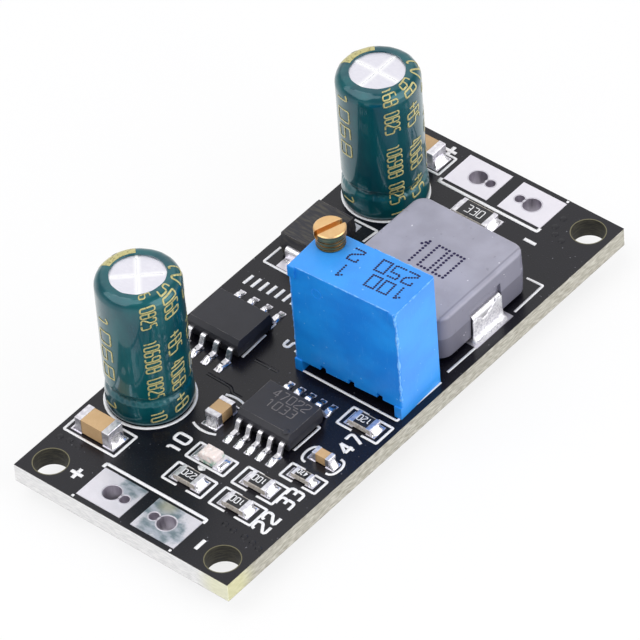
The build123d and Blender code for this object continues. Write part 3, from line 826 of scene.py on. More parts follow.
def blob_growth():
    """Soft blobs on the points of a mesh, sized and turned by the points' own values."""
    g = Growth("blobs", ("Lumps", "Waves"))
    vectors = {"data_type": "FLOAT_VECTOR"}
    size = g.node("GeometryNodeInputNamedAttribute", vectors, {"Name": "size"})
    angles = g.node("GeometryNodeInputNamedAttribute", vectors, {"Name": "turn"})
    turn = g.node("FunctionNodeEulerToRotation", inputs={0: angles})
    ball = g.node("GeometryNodeMeshUVSphere", inputs={"Segments": 20, "Rings": 12, "Radius": 1.0})
    sockets = {"Points": g.given("Geometry"), "Instance": ball, "Rotation": turn, "Scale": size}
    spread = g.node("GeometryNodeInstanceOnPoints", inputs=sockets)
    real = g.node("GeometryNodeRealizeInstances", inputs={0: spread})
    sockets = {"Scale": g.given("Waves"), "Detail": 1.0}
    wave = g.node("ShaderNodeTexNoise", {"noise_dimensions": "3D"}, sockets)
    lump = (wave - 0.5) * g.given("Lumps")
    away = g.node("GeometryNodeInputNormal")
    push = g.node("ShaderNodeVectorMath", {"operation": "SCALE"}, {"Vector": away, "Scale": lump})
    return g.end(g.node("GeometryNodeSetPosition", inputs={"Geometry": real, "Offset": push}))


def bead_growth():
    """Thin uneven beads along the edges of a mesh."""
    g = Growth("beads", ("Thickness", "Waves", "Step"))
    sockets = {"Curve": g.lines(), "Length": g.given("Step")}
    even = g.node("GeometryNodeResampleCurve", {"mode": "LENGTH"}, sockets)
    sockets = {"Scale": g.given("Waves"), "Detail": 3.0}
    wave = g.node("ShaderNodeTexNoise", {"noise_dimensions": "3D"}, sockets)
    radius = g.given("Thickness") * (wave.step(0.36, 0.7) * 0.75 + 0.25)
    outline = g.node("GeometryNodeCurvePrimitiveCircle", {"mode": "RADIUS"},
                     {"Resolution": 7, "Radius": 1.0})
    sockets = {"Curve": even, "Profile Curve": outline, "Scale": radius, "Fill Caps": True}
    return g.end(g.node("GeometryNodeCurveToMesh", inputs=sockets))


ribbons = ribbon_growth()
dots = dot_growth()
blobs = blob_growth()
beads = bead_growth()


def grown(name, growth, mesh, sizes, material):
    """The plain mesh that a tree grows from a base mesh. Sizes are in metres."""
    seed = link(name, mesh)
    modifier = seed.modifiers.new("growth", "NODES")
    modifier.node_group = growth.tree
    for item in growth.tree.interface.items_tree:
        if item.name in sizes:
            modifier[item.identifier] = sizes[item.name]
        if item.name == "Material":
            modifier[item.identifier] = material
    depsgraph = bpy.context.evaluated_depsgraph_get()
    result = bpy.data.meshes.new_from_object(seed.evaluated_get(depsgraph))
    seed.modifiers.remove(modifier)
    seed.data = result
    return seed


def wires(name, rows, height=None):
    """A mesh of bare edges along strokes. Flat strokes lie at a height, each a hair higher."""
    points, edges = [], []
    for turn, (stroke, closed) in enumerate(rows):
        first = len(points)
        for point in stroke:
            points.append(point if height is None else (*point, height + 0.0015 * (turn % 4)))
        edges += [(first + i, first + i + 1) for i in range(len(stroke) - 1)]
        if closed:
            edges.append((first + len(stroke) - 1, first))
    mesh = bpy.data.meshes.new(name)
    mesh.from_pydata((np.array(points) * mm).tolist(), edges, [])
    return mesh


def ribbon(name, rows, height, width, thickness, material, corner, step=0.15):
    """Flat printed lines along strokes. Height is that of the surface they lie on."""
    base = wires(name, rows, height + thickness * 0.4)
    sizes = {"Width": width * mm, "Height": thickness * mm, "Corner": corner * mm,
             "Step": step * mm}
    return grown(name, ribbons, base, sizes, material)


def dotted(name, rows, height, pitch, radius, thickness, material):
    """Rows of printed dots along strokes."""
    base = wires(name, rows, height + thickness * 0.4)
    sizes = {"Pitch": pitch * mm, "Radius": radius * mm, "Height": thickness * mm}
    return grown(name, dots, base, sizes, material)


def beaded(name, rows, thickness, waves, material):
    """Uneven beads along strokes of points in space."""
    sizes = {"Thickness": thickness * mm, "Waves": waves / mm, "Step": 0.1 * mm}
    piece = grown(name, beads, wires(name, rows), sizes, material)
    smooth(piece.data, 180)
    return piece


def blobbed(name, places, lumps, waves, material):
    """Blobs at (centre, half sizes, turn in degrees about Z) places."""
    mesh = bpy.data.meshes.new(name)
    mesh.from_pydata([tuple(c * mm for c in centre) for centre, _, _ in places], [], [])
    size = mesh.attributes.new("size", "FLOAT_VECTOR", "POINT")
    turn = mesh.attributes.new("turn", "FLOAT_VECTOR", "POINT")
    for i, (_, halves, degrees) in enumerate(places):
        size.data[i].vector = [half * mm for half in halves]
        turn.data[i].vector = (0, 0, math.radians(degrees))
    piece = grown(name, blobs, mesh, {"Lumps": lumps * mm, "Waves": waves / mm}, material)
    smooth(piece.data, 180)
    return piece


# White print on the board

def rectangle(x0, x1, y0, y1):
    return [([(x0, y0), (x1, y0), (x1, y1), (x0, y1)], True)]


def split_frame(x0, x1, y0, y1):
    """A rectangle that is open at the middle of its long sides."""
    low, high = (y0 + y1 - frame_gap) / 2, (y0 + y1 + frame_gap) / 2
    return line((x0, low), (x0, y0), (x1, y0), (x1, low)) + line(
        (x0, high), (x0, y1), (x1, y1), (x1, high))


def bracket(x, y0, y1, stub):
    """A long line across the board with a short stub at each end."""
    return line((x + stub, y0), (x, y0), (x, y1), (x + stub, y1))


def arc(centre, radius, start, end, steps):
    angles = np.radians(np.linspace(start, end, steps))
    return line(*[(centre[0] + radius * math.cos(a), centre[1] + radius * math.sin(a))
                  for a in angles])


def horseshoe(x0, x1, y, reach):
    """A bowed line round the end of a small chip."""
    half = abs(x1 - x0) / 2
    return line(*[((x0 + x1) / 2 - half * math.cos(a), y + reach * math.sin(a) ** 0.7)
                  for a in np.linspace(0, math.pi, 12)])


def broad_print():
    """Brackets round the wire pads, rings round the capacitors and bars by the transistor."""
    rows = bracket(-18.48, -4.7, 4.68, -0.42) + bracket(18.45, -5.03, 4.26, 0.4)
    for node, radius in (("input_capacitor_sleeve", 3.3), ("battery_capacitor_sleeve", 3.22)):
        rows += arc(middle(node), radius, 110.5, 429.5, 43)
    for x, y in np.linspace((1.45, 8.85), (1.77, 4.6), 7):
        rows += line((x, y), (x + 1.05, y - 0.05))
    dress(ribbon("board_broad_lines", rows, board_top, broad_line_width, print_height, legend,
                 0.03, 0.1))


def fine_print():
    """Frames and corner lines round the parts, and short ticks."""
    # Frames round the two big ceramic capacitors, the lamp and the resistors
    rows = rectangle(-17.66, -15.2, 4.72, 9.5) + rectangle(18.94, 21.07, 4.7, 9.4)
    rows += rectangle(-14.52, -12.87, -2.83, 0.7)
    rows += split_frame(-17.15, -15.28, -2.95, 0.65) + split_frame(-17.1, -15.2, -7.5, -3.7)
    rows += split_frame(-14.6, -12.7, -7.4, -3.67) + split_frame(-12.0, -10.55, -9.17, -5.95)
    rows += split_frame(-5.55, -3.62, -9.5, -5.85)
    # Corners of the trimmer, the inductor and the diode
    rows += line((-2.92, -0.53), (-2.87, -9.24), (2.04, -9.29))
    rows += line((3.12, -9.02), (6.45, -9.06))
    rows += line((10.85, -9.01), (14.21, -8.97), (14.14, -7.51))
    rows += line((6.02, 9.1), (4.13, 9.16), (4.13, 6.52))
    rows += line((11.52, 6.61), (11.56, 4.46), (10.05, 4.6))
    # Edges of the transistor and the controller
    rows += line((-4.49, 3.92), (-1.71, 4.05)) + line((-1.05, 4.2), (-0.39, 4.2))
    rows += line((-9.54, -5.2), (-6.68, -5.23), (-6.68, -5.0))
    # Bows round the two small ceramic capacitors, and the lamp's pointer
    rows += arc((-9.6, 1.37), 2.3, 152, 208, 9) + arc((-10.3, 1.5), 2.35, -25, 22, 9)
    rows += horseshoe(-9.95, -8.25, -6.6, 0.62) + horseshoe(-8.25, -9.95, -8.5, -0.62)
    rows += line((-14.75, -1.35), (-14.75, -0.75), (-15.0, -1.06), (-14.75, -1.35))
    for x, y in ((-22.3, 4.55), (-22.3, -4.56), (22.3, -4.89), (-2.35, 0.28)):
        rows += line((x - 0.1, y), (x + 0.1, y))
    dress(ribbon("board_lines", rows, board_top, line_width, print_height, legend, 0.03, 0.08))


def board_labels():
    """Plain signs at the wire pads and plain numbers beside the parts."""
    ends = marks(("+", mark_height, (-20.5, 5.75)), ("-", mark_height, (-20.6, -5.9)),
                 ("+", mark_height, (21.5, 5.6), -90), ("-", mark_height, (17.3, -5.3), -90))
    dress(ribbon("end_marks", ends, board_top, mark_width, print_height, legend, 0.05))
    numbers = marks(("10", label_height, (-13.9, 1.95)), ("22", label_height, (-16.2, -8.25)),
                    ("33", label_height, (-13.4, -8.1)), ("47", label_height, (-6.65, -8.05)),
                    ("5", label_height, (-1.45, 1.75)))
    dress(ribbon("board_marks", numbers, board_top, label_width, print_height, legend, 0.2))


def under_the_mask():
    """Tracks and covered through-plating that show as low relief in the mask."""
    tracks = line((-7.24, 4.86), (-7.3, 2.6), (-7.71, 2.1), (-7.71, 1.26))
    tracks += line((-4.12, 3.01), (-4.1, 0.85)) + line((2.9, 3.3), (2.9, 2.3), (11.4, 2.3))
    tracks += line((14.9, -3.2), (14.9, 2.4), (12.6, 2.4))
    dress(ribbon("covered_tracks", tracks, board_top, 0.3, track_height, finishes["board"], 0.3))
    below = line((-20.4, 2.4), (-12.7, 6.65)) + line((-10.2, 6.65), (-3.0, 3.0), (6.0, 3.0))
    below += line((-20.4, -2.6), (-17.0, -6.6), (17.0, -6.6), (20.4, -3.0))
    below += line((14.0, 6.65), (9.0, 1.5)) + line((16.45, 6.65), (20.4, 2.1))
    dress(ribbon("under_tracks", below, board_low[2] - track_height, 1.1, track_height * 2,
                 finishes["board"], 0.8))
    places = [((x, y, z), via_halves, 0) for z in (board_top, board_low[2]) for x, y in via_spots]
    dress(blobbed("covered_vias", places, 0.01, 2.0, finishes["board"]))


# Capacitor sleeves

def film_profile():
    """Radius and height of the film's outside, from its foot over the shoulder to the lip."""
    shape = [(film_wide + out, z) for out, z in foot_shape]
    for t in np.linspace(-1, 1, 19)[1:]:
        dip = groove_depth * math.cos(t * math.pi / 2) ** 2
        shape.append((film_wide - dip, groove_z + t * groove_half))
    foot = groove_z + groove_half
    shape += [(film_wide, foot + t * (shoulder_z - foot)) for t in np.linspace(0, 1, 26)[1:]]
    for t in np.linspace(0, math.pi / 2, 15)[1:]:
        shape.append((film_wide - shoulder_r * (1 - math.cos(t)),
                      shoulder_z + shoulder_r * math.sin(t)))
    shape.append((lip_r, shoulder_z + shoulder_r))
    return np.array(shape)


film_wide = (span("input_capacitor_sleeve")[1][0] - span("input_capacitor_sleeve")[0][0]) / 2
film = film_profile()
film_along = np.r_[0, np.cumsum(np.hypot(*np.diff(film, axis=0).T))]
film_slope = np.gradient(film, film_along, axis=0)


def film_point(angle, along, lift, phase):
    """A point of the film at an angle and a length along its profile, wrinkles included."""
    r = np.interp(along, film_along, film[:, 0])
    z = np.interp(along, film_along, film[:, 1])
    out = np.interp(along, film_along, film_slope[:, 1])
    up = -np.interp(along, film_along, film_slope[:, 0])
    near_groove = np.exp(-((z - groove_z + 0.1) / 0.5) ** 2)
    near_top = np.exp(-((z - shoulder_z - 0.6) / 0.5) ** 2)
    folds = (np.sin(7 * angle + phase) + 0.7 * np.sin(13 * angle + 2 * phase + 3 * z)
             + 0.6 * np.sin(23 * angle + 3 * phase - 4 * z))
    fine = np.sin(41 * angle + 5 * z + phase) * (0.5 + 0.5 * np.sin(3 * angle + 2 * phase + z))
    sag = np.sin(2 * angle + phase + 0.4 * z) + 0.6 * np.sin(5 * angle - phase + 0.9 * z)
    lift = lift + near_groove * (0.02 * folds + 0.018 * fine) + 0.009 * sag
    lift = lift + 0.006 * near_top * folds
    r = r + lift * out
    return np.array([r * np.cos(angle), r * np.sin(angle), z + lift * up])


def sleeve(node, phase):
    """The shrunk film of one capacitor, with a thin wall and a rolled-over lip."""
    low, _ = span(node)
    centre = np.array([*middle(node)[:2], low[2]])
    outside = film_along
    inside = film_along[::-1][::2]
    points = []
    for angle in np.linspace(0, 2 * math.pi, sleeve_turns, endpoint=False):
        lip = 0.025 * math.sin(3 * angle + phase) + 0.012 * math.sin(11 * angle)
        for along in outside:
            point = film_point(angle, along, 0.0, phase)
            if along == outside[-1]:
                point[:2] *= 1 - lip / lip_r
            points.append(centre + point)
        points += [centre + film_point(angle, along, -sleeve_wall, phase) for along in inside]
    faces = ring_faces(sleeve_turns, len(outside) + len(inside))
    name = node.replace("sleeve", "film")
    piece = solid(name, [(points, faces)], finishes["sleeve"])
    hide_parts(node)
    return centre


# Rows of gold print: turn, height, slimness, stroke width, start and marks
gold_rows = {
    "input_capacitor": ((-59, 1.3, 1.42, 0.15, 2.8, "1068 10"),
                        (10, 1.1, 0.54, 0.125, 0.1, "6 0825  106908 0825  106"),
                        (45, 1.3, 0.6, 0.15, 0.2, "5068  +85 4068 +85 4068"),
                        (88, 1.6, 0.9, 0.17, 0.3, "25 10 25 10")),
    "battery_capacitor": ((-59, 1.3, 1.42, 0.15, 1.1, "1068  10"),
                          (14, 1.1, 0.54, 0.125, 0.1, "168 0825  106908 0825 10"),
                          (49, 1.3, 0.6, 0.15, 0.2, "68 +85  4068 +85  4068"),
                          (92, 1.6, 0.9, 0.17, 0.3, "25 10 25 10")),
}


def sleeve_print(name, centre, facing, phase):
    """Gold rows down the sleeve, read from top to bottom, and a gold stripe with minus marks."""
    length = film_along[-1]
    for part, (turn, height, slim, stroke, start, marks) in enumerate(gold_rows[name]):
        room = length - start - 0.25
        rows = [row for row in written(marks, height, slim) if max(x for x, _ in row[0]) < room]

        def place(x, y):
            angle = math.radians(facing + turn) + (y - height / 2) / film_wide
            return angle, length - start - x - 0.14 * (height / 2 - y)

        piece = ribbon(f"{name}_gold_{part}", rows, 0, stroke, 0.012, gold, 0.12, 0.1)
        wrap(piece, centre, place, phase)
        dress(piece)
    half = gold_stripe / 2 / film_wide
    middle_angle = math.radians(facing - 148.5)

    def sheet(lift):
        return lambda u, v: tuple(centre + film_point(
            middle_angle + half * u, 0.35 + (length - 0.45) * (v + 1) / 2, lift, phase))

    solid(f"{name}_gold_stripe", [shell(sheet(0.014), sheet(0.002), 12, 84)], gold)
    dashes = []
    for x in np.arange(0.9, length - 1.5, 2.1):
        dashes += line((x, 0), (x + 1.3, 0))
    piece = ribbon(f"{name}_minus_marks", dashes, 0.016, 0.42, 0.012, minus, 0.1, 0.12)
    wrap(piece, centre, lambda x, y: (middle_angle + y / film_wide, length - x), phase)
    dress(piece)


def wrap(piece, centre, place, phase):
    """Lays a flat piece on the film: place(x, y) gives its angle and its length along."""
    mesh = piece.data
    flat = np.zeros(len(mesh.vertices) * 3)
    mesh.vertices.foreach_get("co", flat)
    laid = []
    for x, y, z in flat.reshape(-1, 3) / mm:
        angle, along = place(x, y)
        laid.append(centre + film_point(angle, along, gold_lift + z, phase))
    mesh.vertices.foreach_set("co", (np.array(laid) * mm).ravel())
    mesh.update()


# Solder

def chip_solder():
    """Hollow wedges of solder at both ends of every chip part, each a little different."""
    rng = random.Random(7)
    parts = []
    chips = [n[:-5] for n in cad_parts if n.endswith("_ends")] + ["lamp"]
    for chip in sorted(chips):
        low, high = span(chip + ("_terminals" if chip == "lamp" else "_ends"))
        size = high - low
        along = 1 if size[1] > size[0] else 0
        across = 1 - along
        rise = min(size[2] - 0.05, 0.9)
        for side in (-1, 1):
            parts.append(wedge(low, high, along, across, side, rise, rng))
    piece = solid("chip_solder", parts, finishes["solder"])
    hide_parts("surface_solder")


def wedge(low, high, along, across, side, rise, rng):
    """One wedge: steep against the metal end, then hollow, out to a rounded toe."""
    width = high[across] - low[across]
    centre = (high[across] + low[across]) / 2
    start = high[along] if side > 0 else low[along]
    run = land_out * rng.uniform(0.92, 1.04)
    lean = rng.uniform(-0.14, 0.14)
    phase = rng.uniform(0, 6)

    def place(u, out, height, depth):
        toe = 1 - 0.2 * abs(u) ** 3
        point = [0, 0, low[2] + height]
        point[across] = centre + u * width / 2 * (0.97 + 0.08 * out)
        point[along] = start + side * (out * run * toe - depth)
        return tuple(point)

    def top(u, v):
        out = (v + 1) / 2
        height = rise * (1 - out) ** 1.9 * (1 - 0.22 * u * u + lean * u)
        height += 0.09 * (1 - u ** 4) * math.sin(math.pi * out ** 1.4)
        height += 0.015 * math.sin(2.5 * u + phase + 3 * out)
        height *= (1 - u ** 10) * (1 - out ** 8)
        return place(u, out, max(height, 0.004), 0.03)

    return shell(top, lambda u, v: place(u, (v + 1) / 2, -0.012, 0.03))


def islands(node):
    """Boxes of the separate solids of one frame node, in millimetres."""
    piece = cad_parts[node]
    spots = [tuple(round(c / mm, 4) for c in piece.matrix_world @ v.co)
             for v in piece.data.vertices]
    group = {spot: spot for spot in spots}

    def root(spot):
        while group[spot] != spot:
            group[spot] = group[group[spot]]
            spot = group[spot]
        return spot

    for edge in piece.data.edges:
        first, second = (root(spots[i]) for i in edge.vertices)
        group[first] = second
    parts = {}
    for spot in group:
        parts.setdefault(root(spot), []).append(spot)
    return sorted((np.min(part, 0).tolist(), np.max(part, 0).tolist()) for part in parts.values())


def foot_solder():
    """Solder heaped over the land and foot of every lead of the two chips."""
    rng = random.Random(11)
    chips = [span(chip + "_leads") for chip in leaded_chips]
    parts = []
    for low, high in islands("component_lands"):
        x, y = (low[0] + high[0]) / 2, (low[1] + high[1]) / 2
        chip = [box for box in chips
                if box[0][0] - 1 < x < box[1][0] + 1 and box[0][1] < y < box[1][1]]
        if not chip or high[0] - low[0] < shortest_lead_land:
            continue
        side = 1 if x > (chip[0][0][0] + chip[0][1][0]) / 2 else -1
        long, wide = (high[0] - low[0]) / 2 + 0.02, (high[1] - low[1]) / 2 + 0.03
        peak, toe, phase = rng.uniform(0.24, 0.3), rng.uniform(-0.1, 0.12), rng.uniform(0, 6)

        def top(u, v):
            form = (1 - u ** 4) ** 0.7 * (1 - v ** 4) ** 0.7
            hump = 0.62 + 0.38 * math.cos(3.6 * (u - toe)) + 0.08 * math.sin(5 * u + phase + 2 * v)
            narrow = 1 - 0.3 * abs(u) ** 4
            return (x + side * u * long * (1 - 0.12 * v * v), y + v * wide * narrow,
                    low[2] + 0.03 + form * hump * peak)

        def below(u, v):
            return (*top(u, v)[:2], board_top + 0.01)

        parts.append(shell(top, below, 18, 12))
    solid("foot_solder", parts, finishes["solder"])
    low, high = span("diode_terminals")
    y = middle("diode_terminals")[1]
    places = [((x, y, low[2] + 0.03), (0.36, 1.04, 0.2), 0) for x in (low[0], high[0])]
    dress(blobbed("diode_solder", places, 0.05, 1.6, finishes["solder"]))


def strip_solder():
    """Solder drawn up the inductor's two strips, with a torn top edge and a rippled foot."""
    low, high = span("inductor_terminals")
    centre = middle("inductor_terminals")[0]
    half = (high[0] - low[0]) / 2 + 0.06
    parts = []
    for side, face in ((-1, low[1]), (1, high[1])):
        def skin(u, v):
            t = (v + 1) / 2
            bare = 0.62 * math.exp(-((u + 0.12) / 0.3) ** 2) + 0.1 * math.sin(9 * u + side)
            edge = high[2] - 0.12 - bare - 0.3 * (1 - u) / 2 + 0.05 * math.sin(23 * u)
            foot = max(0.0, 1 - t * 2.3)
            ripple = 0.03 * math.sin(7 * u + 2) * math.sin(6 * t + u) + 0.012 * math.sin(19 * u + 9 * t)
            ripple *= 0.06 + foot
            lip = 0.03 * math.exp(-((t - 0.93) / 0.07) ** 2)
            out = (0.5 * foot ** 2.2 + 0.03 + lip + ripple) * (1 - u ** 14) * (1 - t ** 30)
            rise = max(0.0, t - 0.12) / 0.88
            return (centre + u * half * (1 + 0.12 * foot), face + side * max(out, 0.004),
                    low[2] + 0.01 + 0.1 * min(t / 0.12, 1.0) * (1 - rise) + (edge - low[2]) * rise)

        def behind(u, v):
            x, _, z = skin(u, v)
            return x, face - side * 0.03, z

        parts.append(shell(skin, behind, 48, 34))
    solid("strip_solder", parts, dull_solder)


def lead_places():
    """Centres of the seven round leads."""
    places = []
    for node in ("input_capacitor_leads", "battery_capacitor_leads"):
        low, high = span(node)
        y = middle(node)[1]
        places += [(low[0] + lead_radius, y), (high[0] - lead_radius, y)]
    low, high = span("trimmer_pins")
    first = np.array((high[0] - lead_radius, low[1] + lead_radius))
    last = np.array((low[0] + lead_radius, high[1] - lead_radius))
    return places + [tuple(first + (last - first) * t) for t in (0, 0.5, 1)]


def lead_solder():
    """Solder that fills each lead hole and rises in a hollow cone round the lead below."""
    rng = random.Random(5)
    (_, _, low), (_, _, top) = span("solder_joints")
    parts = []
    for centre in lead_places():
        phase = rng.uniform(0, 6)
        size = rng.uniform(0.93, 1.03)

        def section(angle):
            wave = 1 + 0.04 * math.sin(2 * angle + phase) + 0.02 * math.sin(5 * angle - phase)
            ground = board_low[2] - 0.05
            cone = [(lead_radius + 0.05 + (lead_hole + 0.1) * size * wave * (1 - t) ** 1.7,
                     ground + (low - ground) * (0.02 + 0.95 * t)) for t in np.linspace(0, 1, 12)]
            rim = [(lead_radius * 0.8, top + 0.02), (lead_hole * 0.8, top + 0.02),
                   (lead_hole, top), (lead_hole, ground)]
            return rim + cone + [(lead_radius * 0.8, low)]

        parts.append(lathe(section, centre))
    piece = solid("lead_solder", parts, finishes["solder"])
    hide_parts("solder_joints")


def barrels():
    """Plated walls of the wire holes, two to a pad, with rims painted bright as a painted highlight."""
    parts = []
    for node in ("input_positive_pad", "input_negative_pad", "battery_positive_pad",
                 "battery_negative_pad"):
        low, high = span(node)
        x, y, _ = middle(node)
        toward = 1 if "negative" in node else -1
        for radius, out in wire_holes:
            loop = [(radius + 0.08, high[2] + 0.002), (radius + 0.05, high[2] + 0.014),
                    (radius, high[2] + 0.014), (radius - plating, high[2] - 0.004),
                    (radius - plating, low[2] + 0.004), (radius, low[2] - 0.014),
                    (radius + 0.05, low[2] - 0.014), (radius + 0.08, low[2] - 0.002),
                    (radius + 0.02, low[2] + 0.01), (radius + 0.02, high[2] - 0.01)]
            parts.append(lathe(lambda angle: loop, (x, y + toward * out), 48))
    solid("hole_barrels", parts, barrel, 40)


# Marks and moulding flash on the parts

def chip_marks():
    """Laser numbers and a pin mark on the controller, and pale beads along the top edges of the moulded
    parts as painted highlights.
    """
    top = span("controller_body")[1][2]
    rows = marks(("47022", 0.8, (-6.98, -3.0), -90, 0.93), ("1033", 0.8, (-8.0, -2.86), -90, 0.94))
    dress(ribbon("controller_marks", rows, top, 0.08, 0.01, faint_ink, 0.06, 0.08))
    dimple = [((-9.6, -4.64, top - 0.001), (0.3, 0.3, 0.008), 0)]
    dress(blobbed("pin_one_mark", dimple, 0.0, 1.0, finishes["moulding_black"]))
    # Painted highlights: pale beads along the top edges of the moulded parts.
    rows = []
    for node in ("controller_body", "mosfet_body", "diode_body"):
        low, high = top_face(node)
        z = high[2] - 0.004
        rows.append(([(low[0], low[1], z), (high[0], low[1], z), (high[0], high[1], z),
                      (low[0], high[1], z)], True))
    dress(beaded("worn_edges", rows, 0.014, 1.2, faint_ink))


def dotted_marks():
    """Dotted numbers on the inductor and the trimmer."""
    rows = centred("100", 2.45, (8.45, -3.66), -90, 0.62)
    top = span("inductor_body")[1][2]
    dress(dotted("inductor_marks", rows, top, 0.31, 0.12, 0.012, dark_ink))
    slope = 90 + trimmer_turn
    rows = marks(("250", 1.2, (0.93, -6.79), slope + 1, 1.06),
                 ("100", 1.2, (-0.69, -7.15), slope + 1, 1.04),
                 ("2", 1.2, (0.6, -3.32), slope, 1.06), ("1", 1.2, (-1.22, -3.5), slope, 1.06))
    top = span("trimmer_housing")[1][2]
    dress(dotted("trimmer_marks", rows, top, 0.205, 0.092, 0.012, dark_ink))


def resistor_marks():
    """White numbers on the resistors."""
    rows = []
    for node in sorted(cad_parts):
        if not node.endswith("_body") or "resistor" not in node:
            continue
        low, high = span(node)
        length = max(high[0] - low[0], high[1] - low[1])
        size, degrees = 0.78, -90
        if length < long_chip:
            size, degrees = (0.4 if length < short_chip else 0.56), 90
        number = resistor_numbers[node.split("_")[0]]
        rows += centred(number, size, middle(node)[:2], degrees, 0.78)
    top = span("resistor_coats")[1][2]
    dress(ribbon("resistor_marks", rows, top, 0.075, 0.008, legend, 0.05, 0.06))


def top_face(node):
    """Lowest and highest corner of a part's top face, in millimetres."""
    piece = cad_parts[node]
    spots = np.array([piece.matrix_world @ v.co for v in piece.data.vertices]) / mm
    spots = spots[spots[:, 2] > spots[:, 2].max() - 0.01]
    return spots.min(0), spots.max(0)


def trimmer_point(x, y, z):
    """A point given in the trimmer's own turned axes, from the middle of its housing."""
    return (*turned(x, y, middle("trimmer_housing"), trimmer_turn), z)


def trimmer_line(start, end, steps):
    """An open stroke of even steps between two points in the trimmer's own axes."""
    return ([trimmer_point(*spot) for spot in np.linspace(start, end, steps)], False)


def trimmer_flash():
    """Torn flash along the trimmer's edges, a chipped corner and an ejector ring."""
    top = span("trimmer_housing")[1][2]
    rim = top - 0.03
    edges = [trimmer_line((-2.25, -4.2, top - 0.04), (-2.25, 4.2, top - 0.04), 30),
             trimmer_line((-2.23, 4.71, 2.6), (-2.23, 4.71, top - 1.0), 16),
             trimmer_line((-2.2, -4.735, rim), (2.3, -4.735, rim), 16),
             trimmer_line((2.385, -4.6, rim), (2.385, 0.5, rim), 14)]
    dress(beaded("trimmer_edges", edges, 0.07, 1.6, flash))
    chip = [(-2.2, trimmer_end, rim), (-2.39, -4.55, rim), (-2.4, trimmer_end, top - 0.5)]
    torn = [trimmer_line((-2.23, -4.71, 3.4), (-2.23, -4.71, top - 1.0), 24),
            trimmer_line((-2.38, -4.73, top - 1.1), (-2.38, -4.73, top - 0.2), 8),
            ([trimmer_point(*corner) for corner in chip], True)]
    dress(beaded("trimmer_flash", torn, 0.14, 1.4, flash))
    ring = [trimmer_point(trimmer_wall, 2.35 + 0.42 * math.cos(a), 10.2 + 0.42 * math.sin(a))
            for a in np.linspace(0, 2 * math.pi, 25)[:-1]]
    dress(beaded("ejector_ring", [(ring, True)], 0.04, 0.3, finishes["trimmer_blue"]))


# Light, floor and camera

def panel(name, azimuth, elevation, distance, size, watts):
    """A square soft light, aimed at the board. Azimuth runs from +X towards +Y."""
    lamp = bpy.data.lights.new(name, "AREA")
    lamp.size = size
    lamp.energy = watts
    piece = link(name, lamp)
    a, e = math.radians(azimuth), math.radians(elevation)
    away = Vector((math.cos(a) * math.cos(e), math.sin(a) * math.cos(e), math.sin(e)))
    piece.location = away * distance
    toward = Vector(lit_point) - away * distance
    piece.rotation_euler = toward.to_track_quat("-Z", "Y").to_euler()


def studio():
    """A white room with a bright window that the flat tops mirror, and two soft panels."""
    world = bpy.data.worlds.new("studio")
    world.use_nodes = True
    bpy.context.scene.world = world
    sky = Sheet(world.node_tree)
    direction = sky.node("ShaderNodeTexCoord", output="Generated")
    height = sky.node("ShaderNodeSeparateXYZ", inputs={0: direction}, output="Z")
    seen = sky.node("ShaderNodeLightPath", output="Is Camera Ray")
    window = sky.node("ShaderNodeVectorMath", {"operation": "DOT_PRODUCT"},
                      {0: direction, 1: window_direction}, "Value").step(0.74, 0.9)
    low_white = 1 - height.step(0.02, 0.4)
    level = 0.26 + window * 0.75 + low_white * 0.45
    strength = seen + (1 - seen) * level
    backdrop = world.node_tree.nodes["Background"]
    backdrop.inputs["Color"].default_value = (1, 1, 1, 1)
    world.node_tree.links.new(strength.socket, backdrop.inputs["Strength"])
    panel("key_panel", 150, 58, 0.7, 0.8, 3.7)
    panel("side_panel", -75, 25, 0.8, 0.9, 5.8)


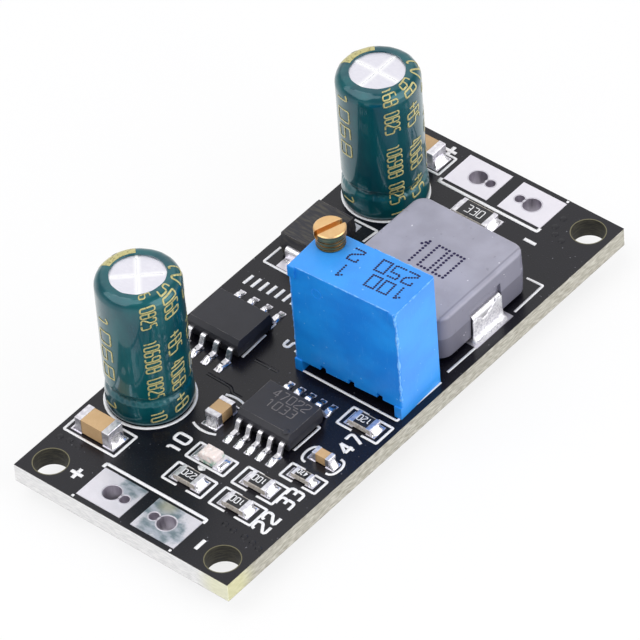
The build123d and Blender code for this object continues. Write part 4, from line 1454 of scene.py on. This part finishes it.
def floor():
    """A plain pale floor that looks white and keeps the board's soft shadow."""
    reach = 3.0
    z = (lead_tip - 0.005) * mm
    mesh = bpy.data.meshes.new("floor")
    corners = [(-reach, -reach, z), (reach, -reach, z), (reach, reach, z), (-reach, reach, z)]
    mesh.from_pydata(corners, [], [(0, 1, 2, 3)])
    f = Finish("pale_floor", {"Roughness": 0.9, "Specular IOR Level": 0.1})
    f.wire("Base Color", f.mix(f.noise(0.02), (236, 236, 238), (242, 242, 244)))
    rays = f.tree.nodes.new("ShaderNodeLightPath")
    seen = Signal(f, rays.outputs["Is Camera Ray"]) + Signal(f, rays.outputs["Is Glossy Ray"])
    seen = seen + Signal(f, rays.outputs["Is Transmission Ray"])
    glow = f.node("ShaderNodeEmission", inputs={"Color": (1, 1, 1, 1), "Strength": 1.0})
    surface = Signal(f, f.shader.outputs[0])
    blend = f.node("ShaderNodeMixShader", inputs={0: seen * 0.82, 1: surface, 2: glow})
    f.tree.links.new(blend.socket, f.tree.nodes["Material Output"].inputs["Surface"])
    mesh.materials.append(f.material)
    link("floor", mesh)


def camera():
    """The photograph's view: a long lens, high over the input end's near corner."""
    a, e = math.radians(camera_azimuth), math.radians(camera_elevation)
    back = Vector((math.sin(a) * math.cos(e), -math.cos(a) * math.cos(e), math.sin(e)))
    level = Vector((0, 0, 1)).cross(back).normalized()
    right = Matrix.Rotation(math.radians(camera_roll), 3, back) @ level
    up = back.cross(right)
    place = Vector((*camera_target, board_top)) + back * camera_distance
    lens = bpy.data.cameras.new("camera")
    lens.lens = camera_lens
    lens.sensor_width = 36
    lens.clip_start = 0.01
    lens.clip_end = 10
    view = link("camera", lens)
    view.matrix_world = Matrix((right, up, back)).transposed().to_4x4()
    view.location = place * mm
    bpy.context.scene.camera = view


camera()
studio()
floor()
broad_print()
fine_print()
board_labels()
facing = math.degrees(math.atan2(-math.cos(math.radians(camera_azimuth)),
                                 math.sin(math.radians(camera_azimuth))))
for node, phase in (("input_capacitor_sleeve", 0.7), ("battery_capacitor_sleeve", 2.9)):
    foot = sleeve(node, phase)
    sleeve_print(node[:-7], foot, facing, phase)
under_the_mask()
chip_solder()
foot_solder()
strip_solder()
lead_solder()
barrels()
chip_marks()
dotted_marks()
resistor_marks()
trimmer_flash()

bpy.context.scene.view_settings.view_transform = "Standard"
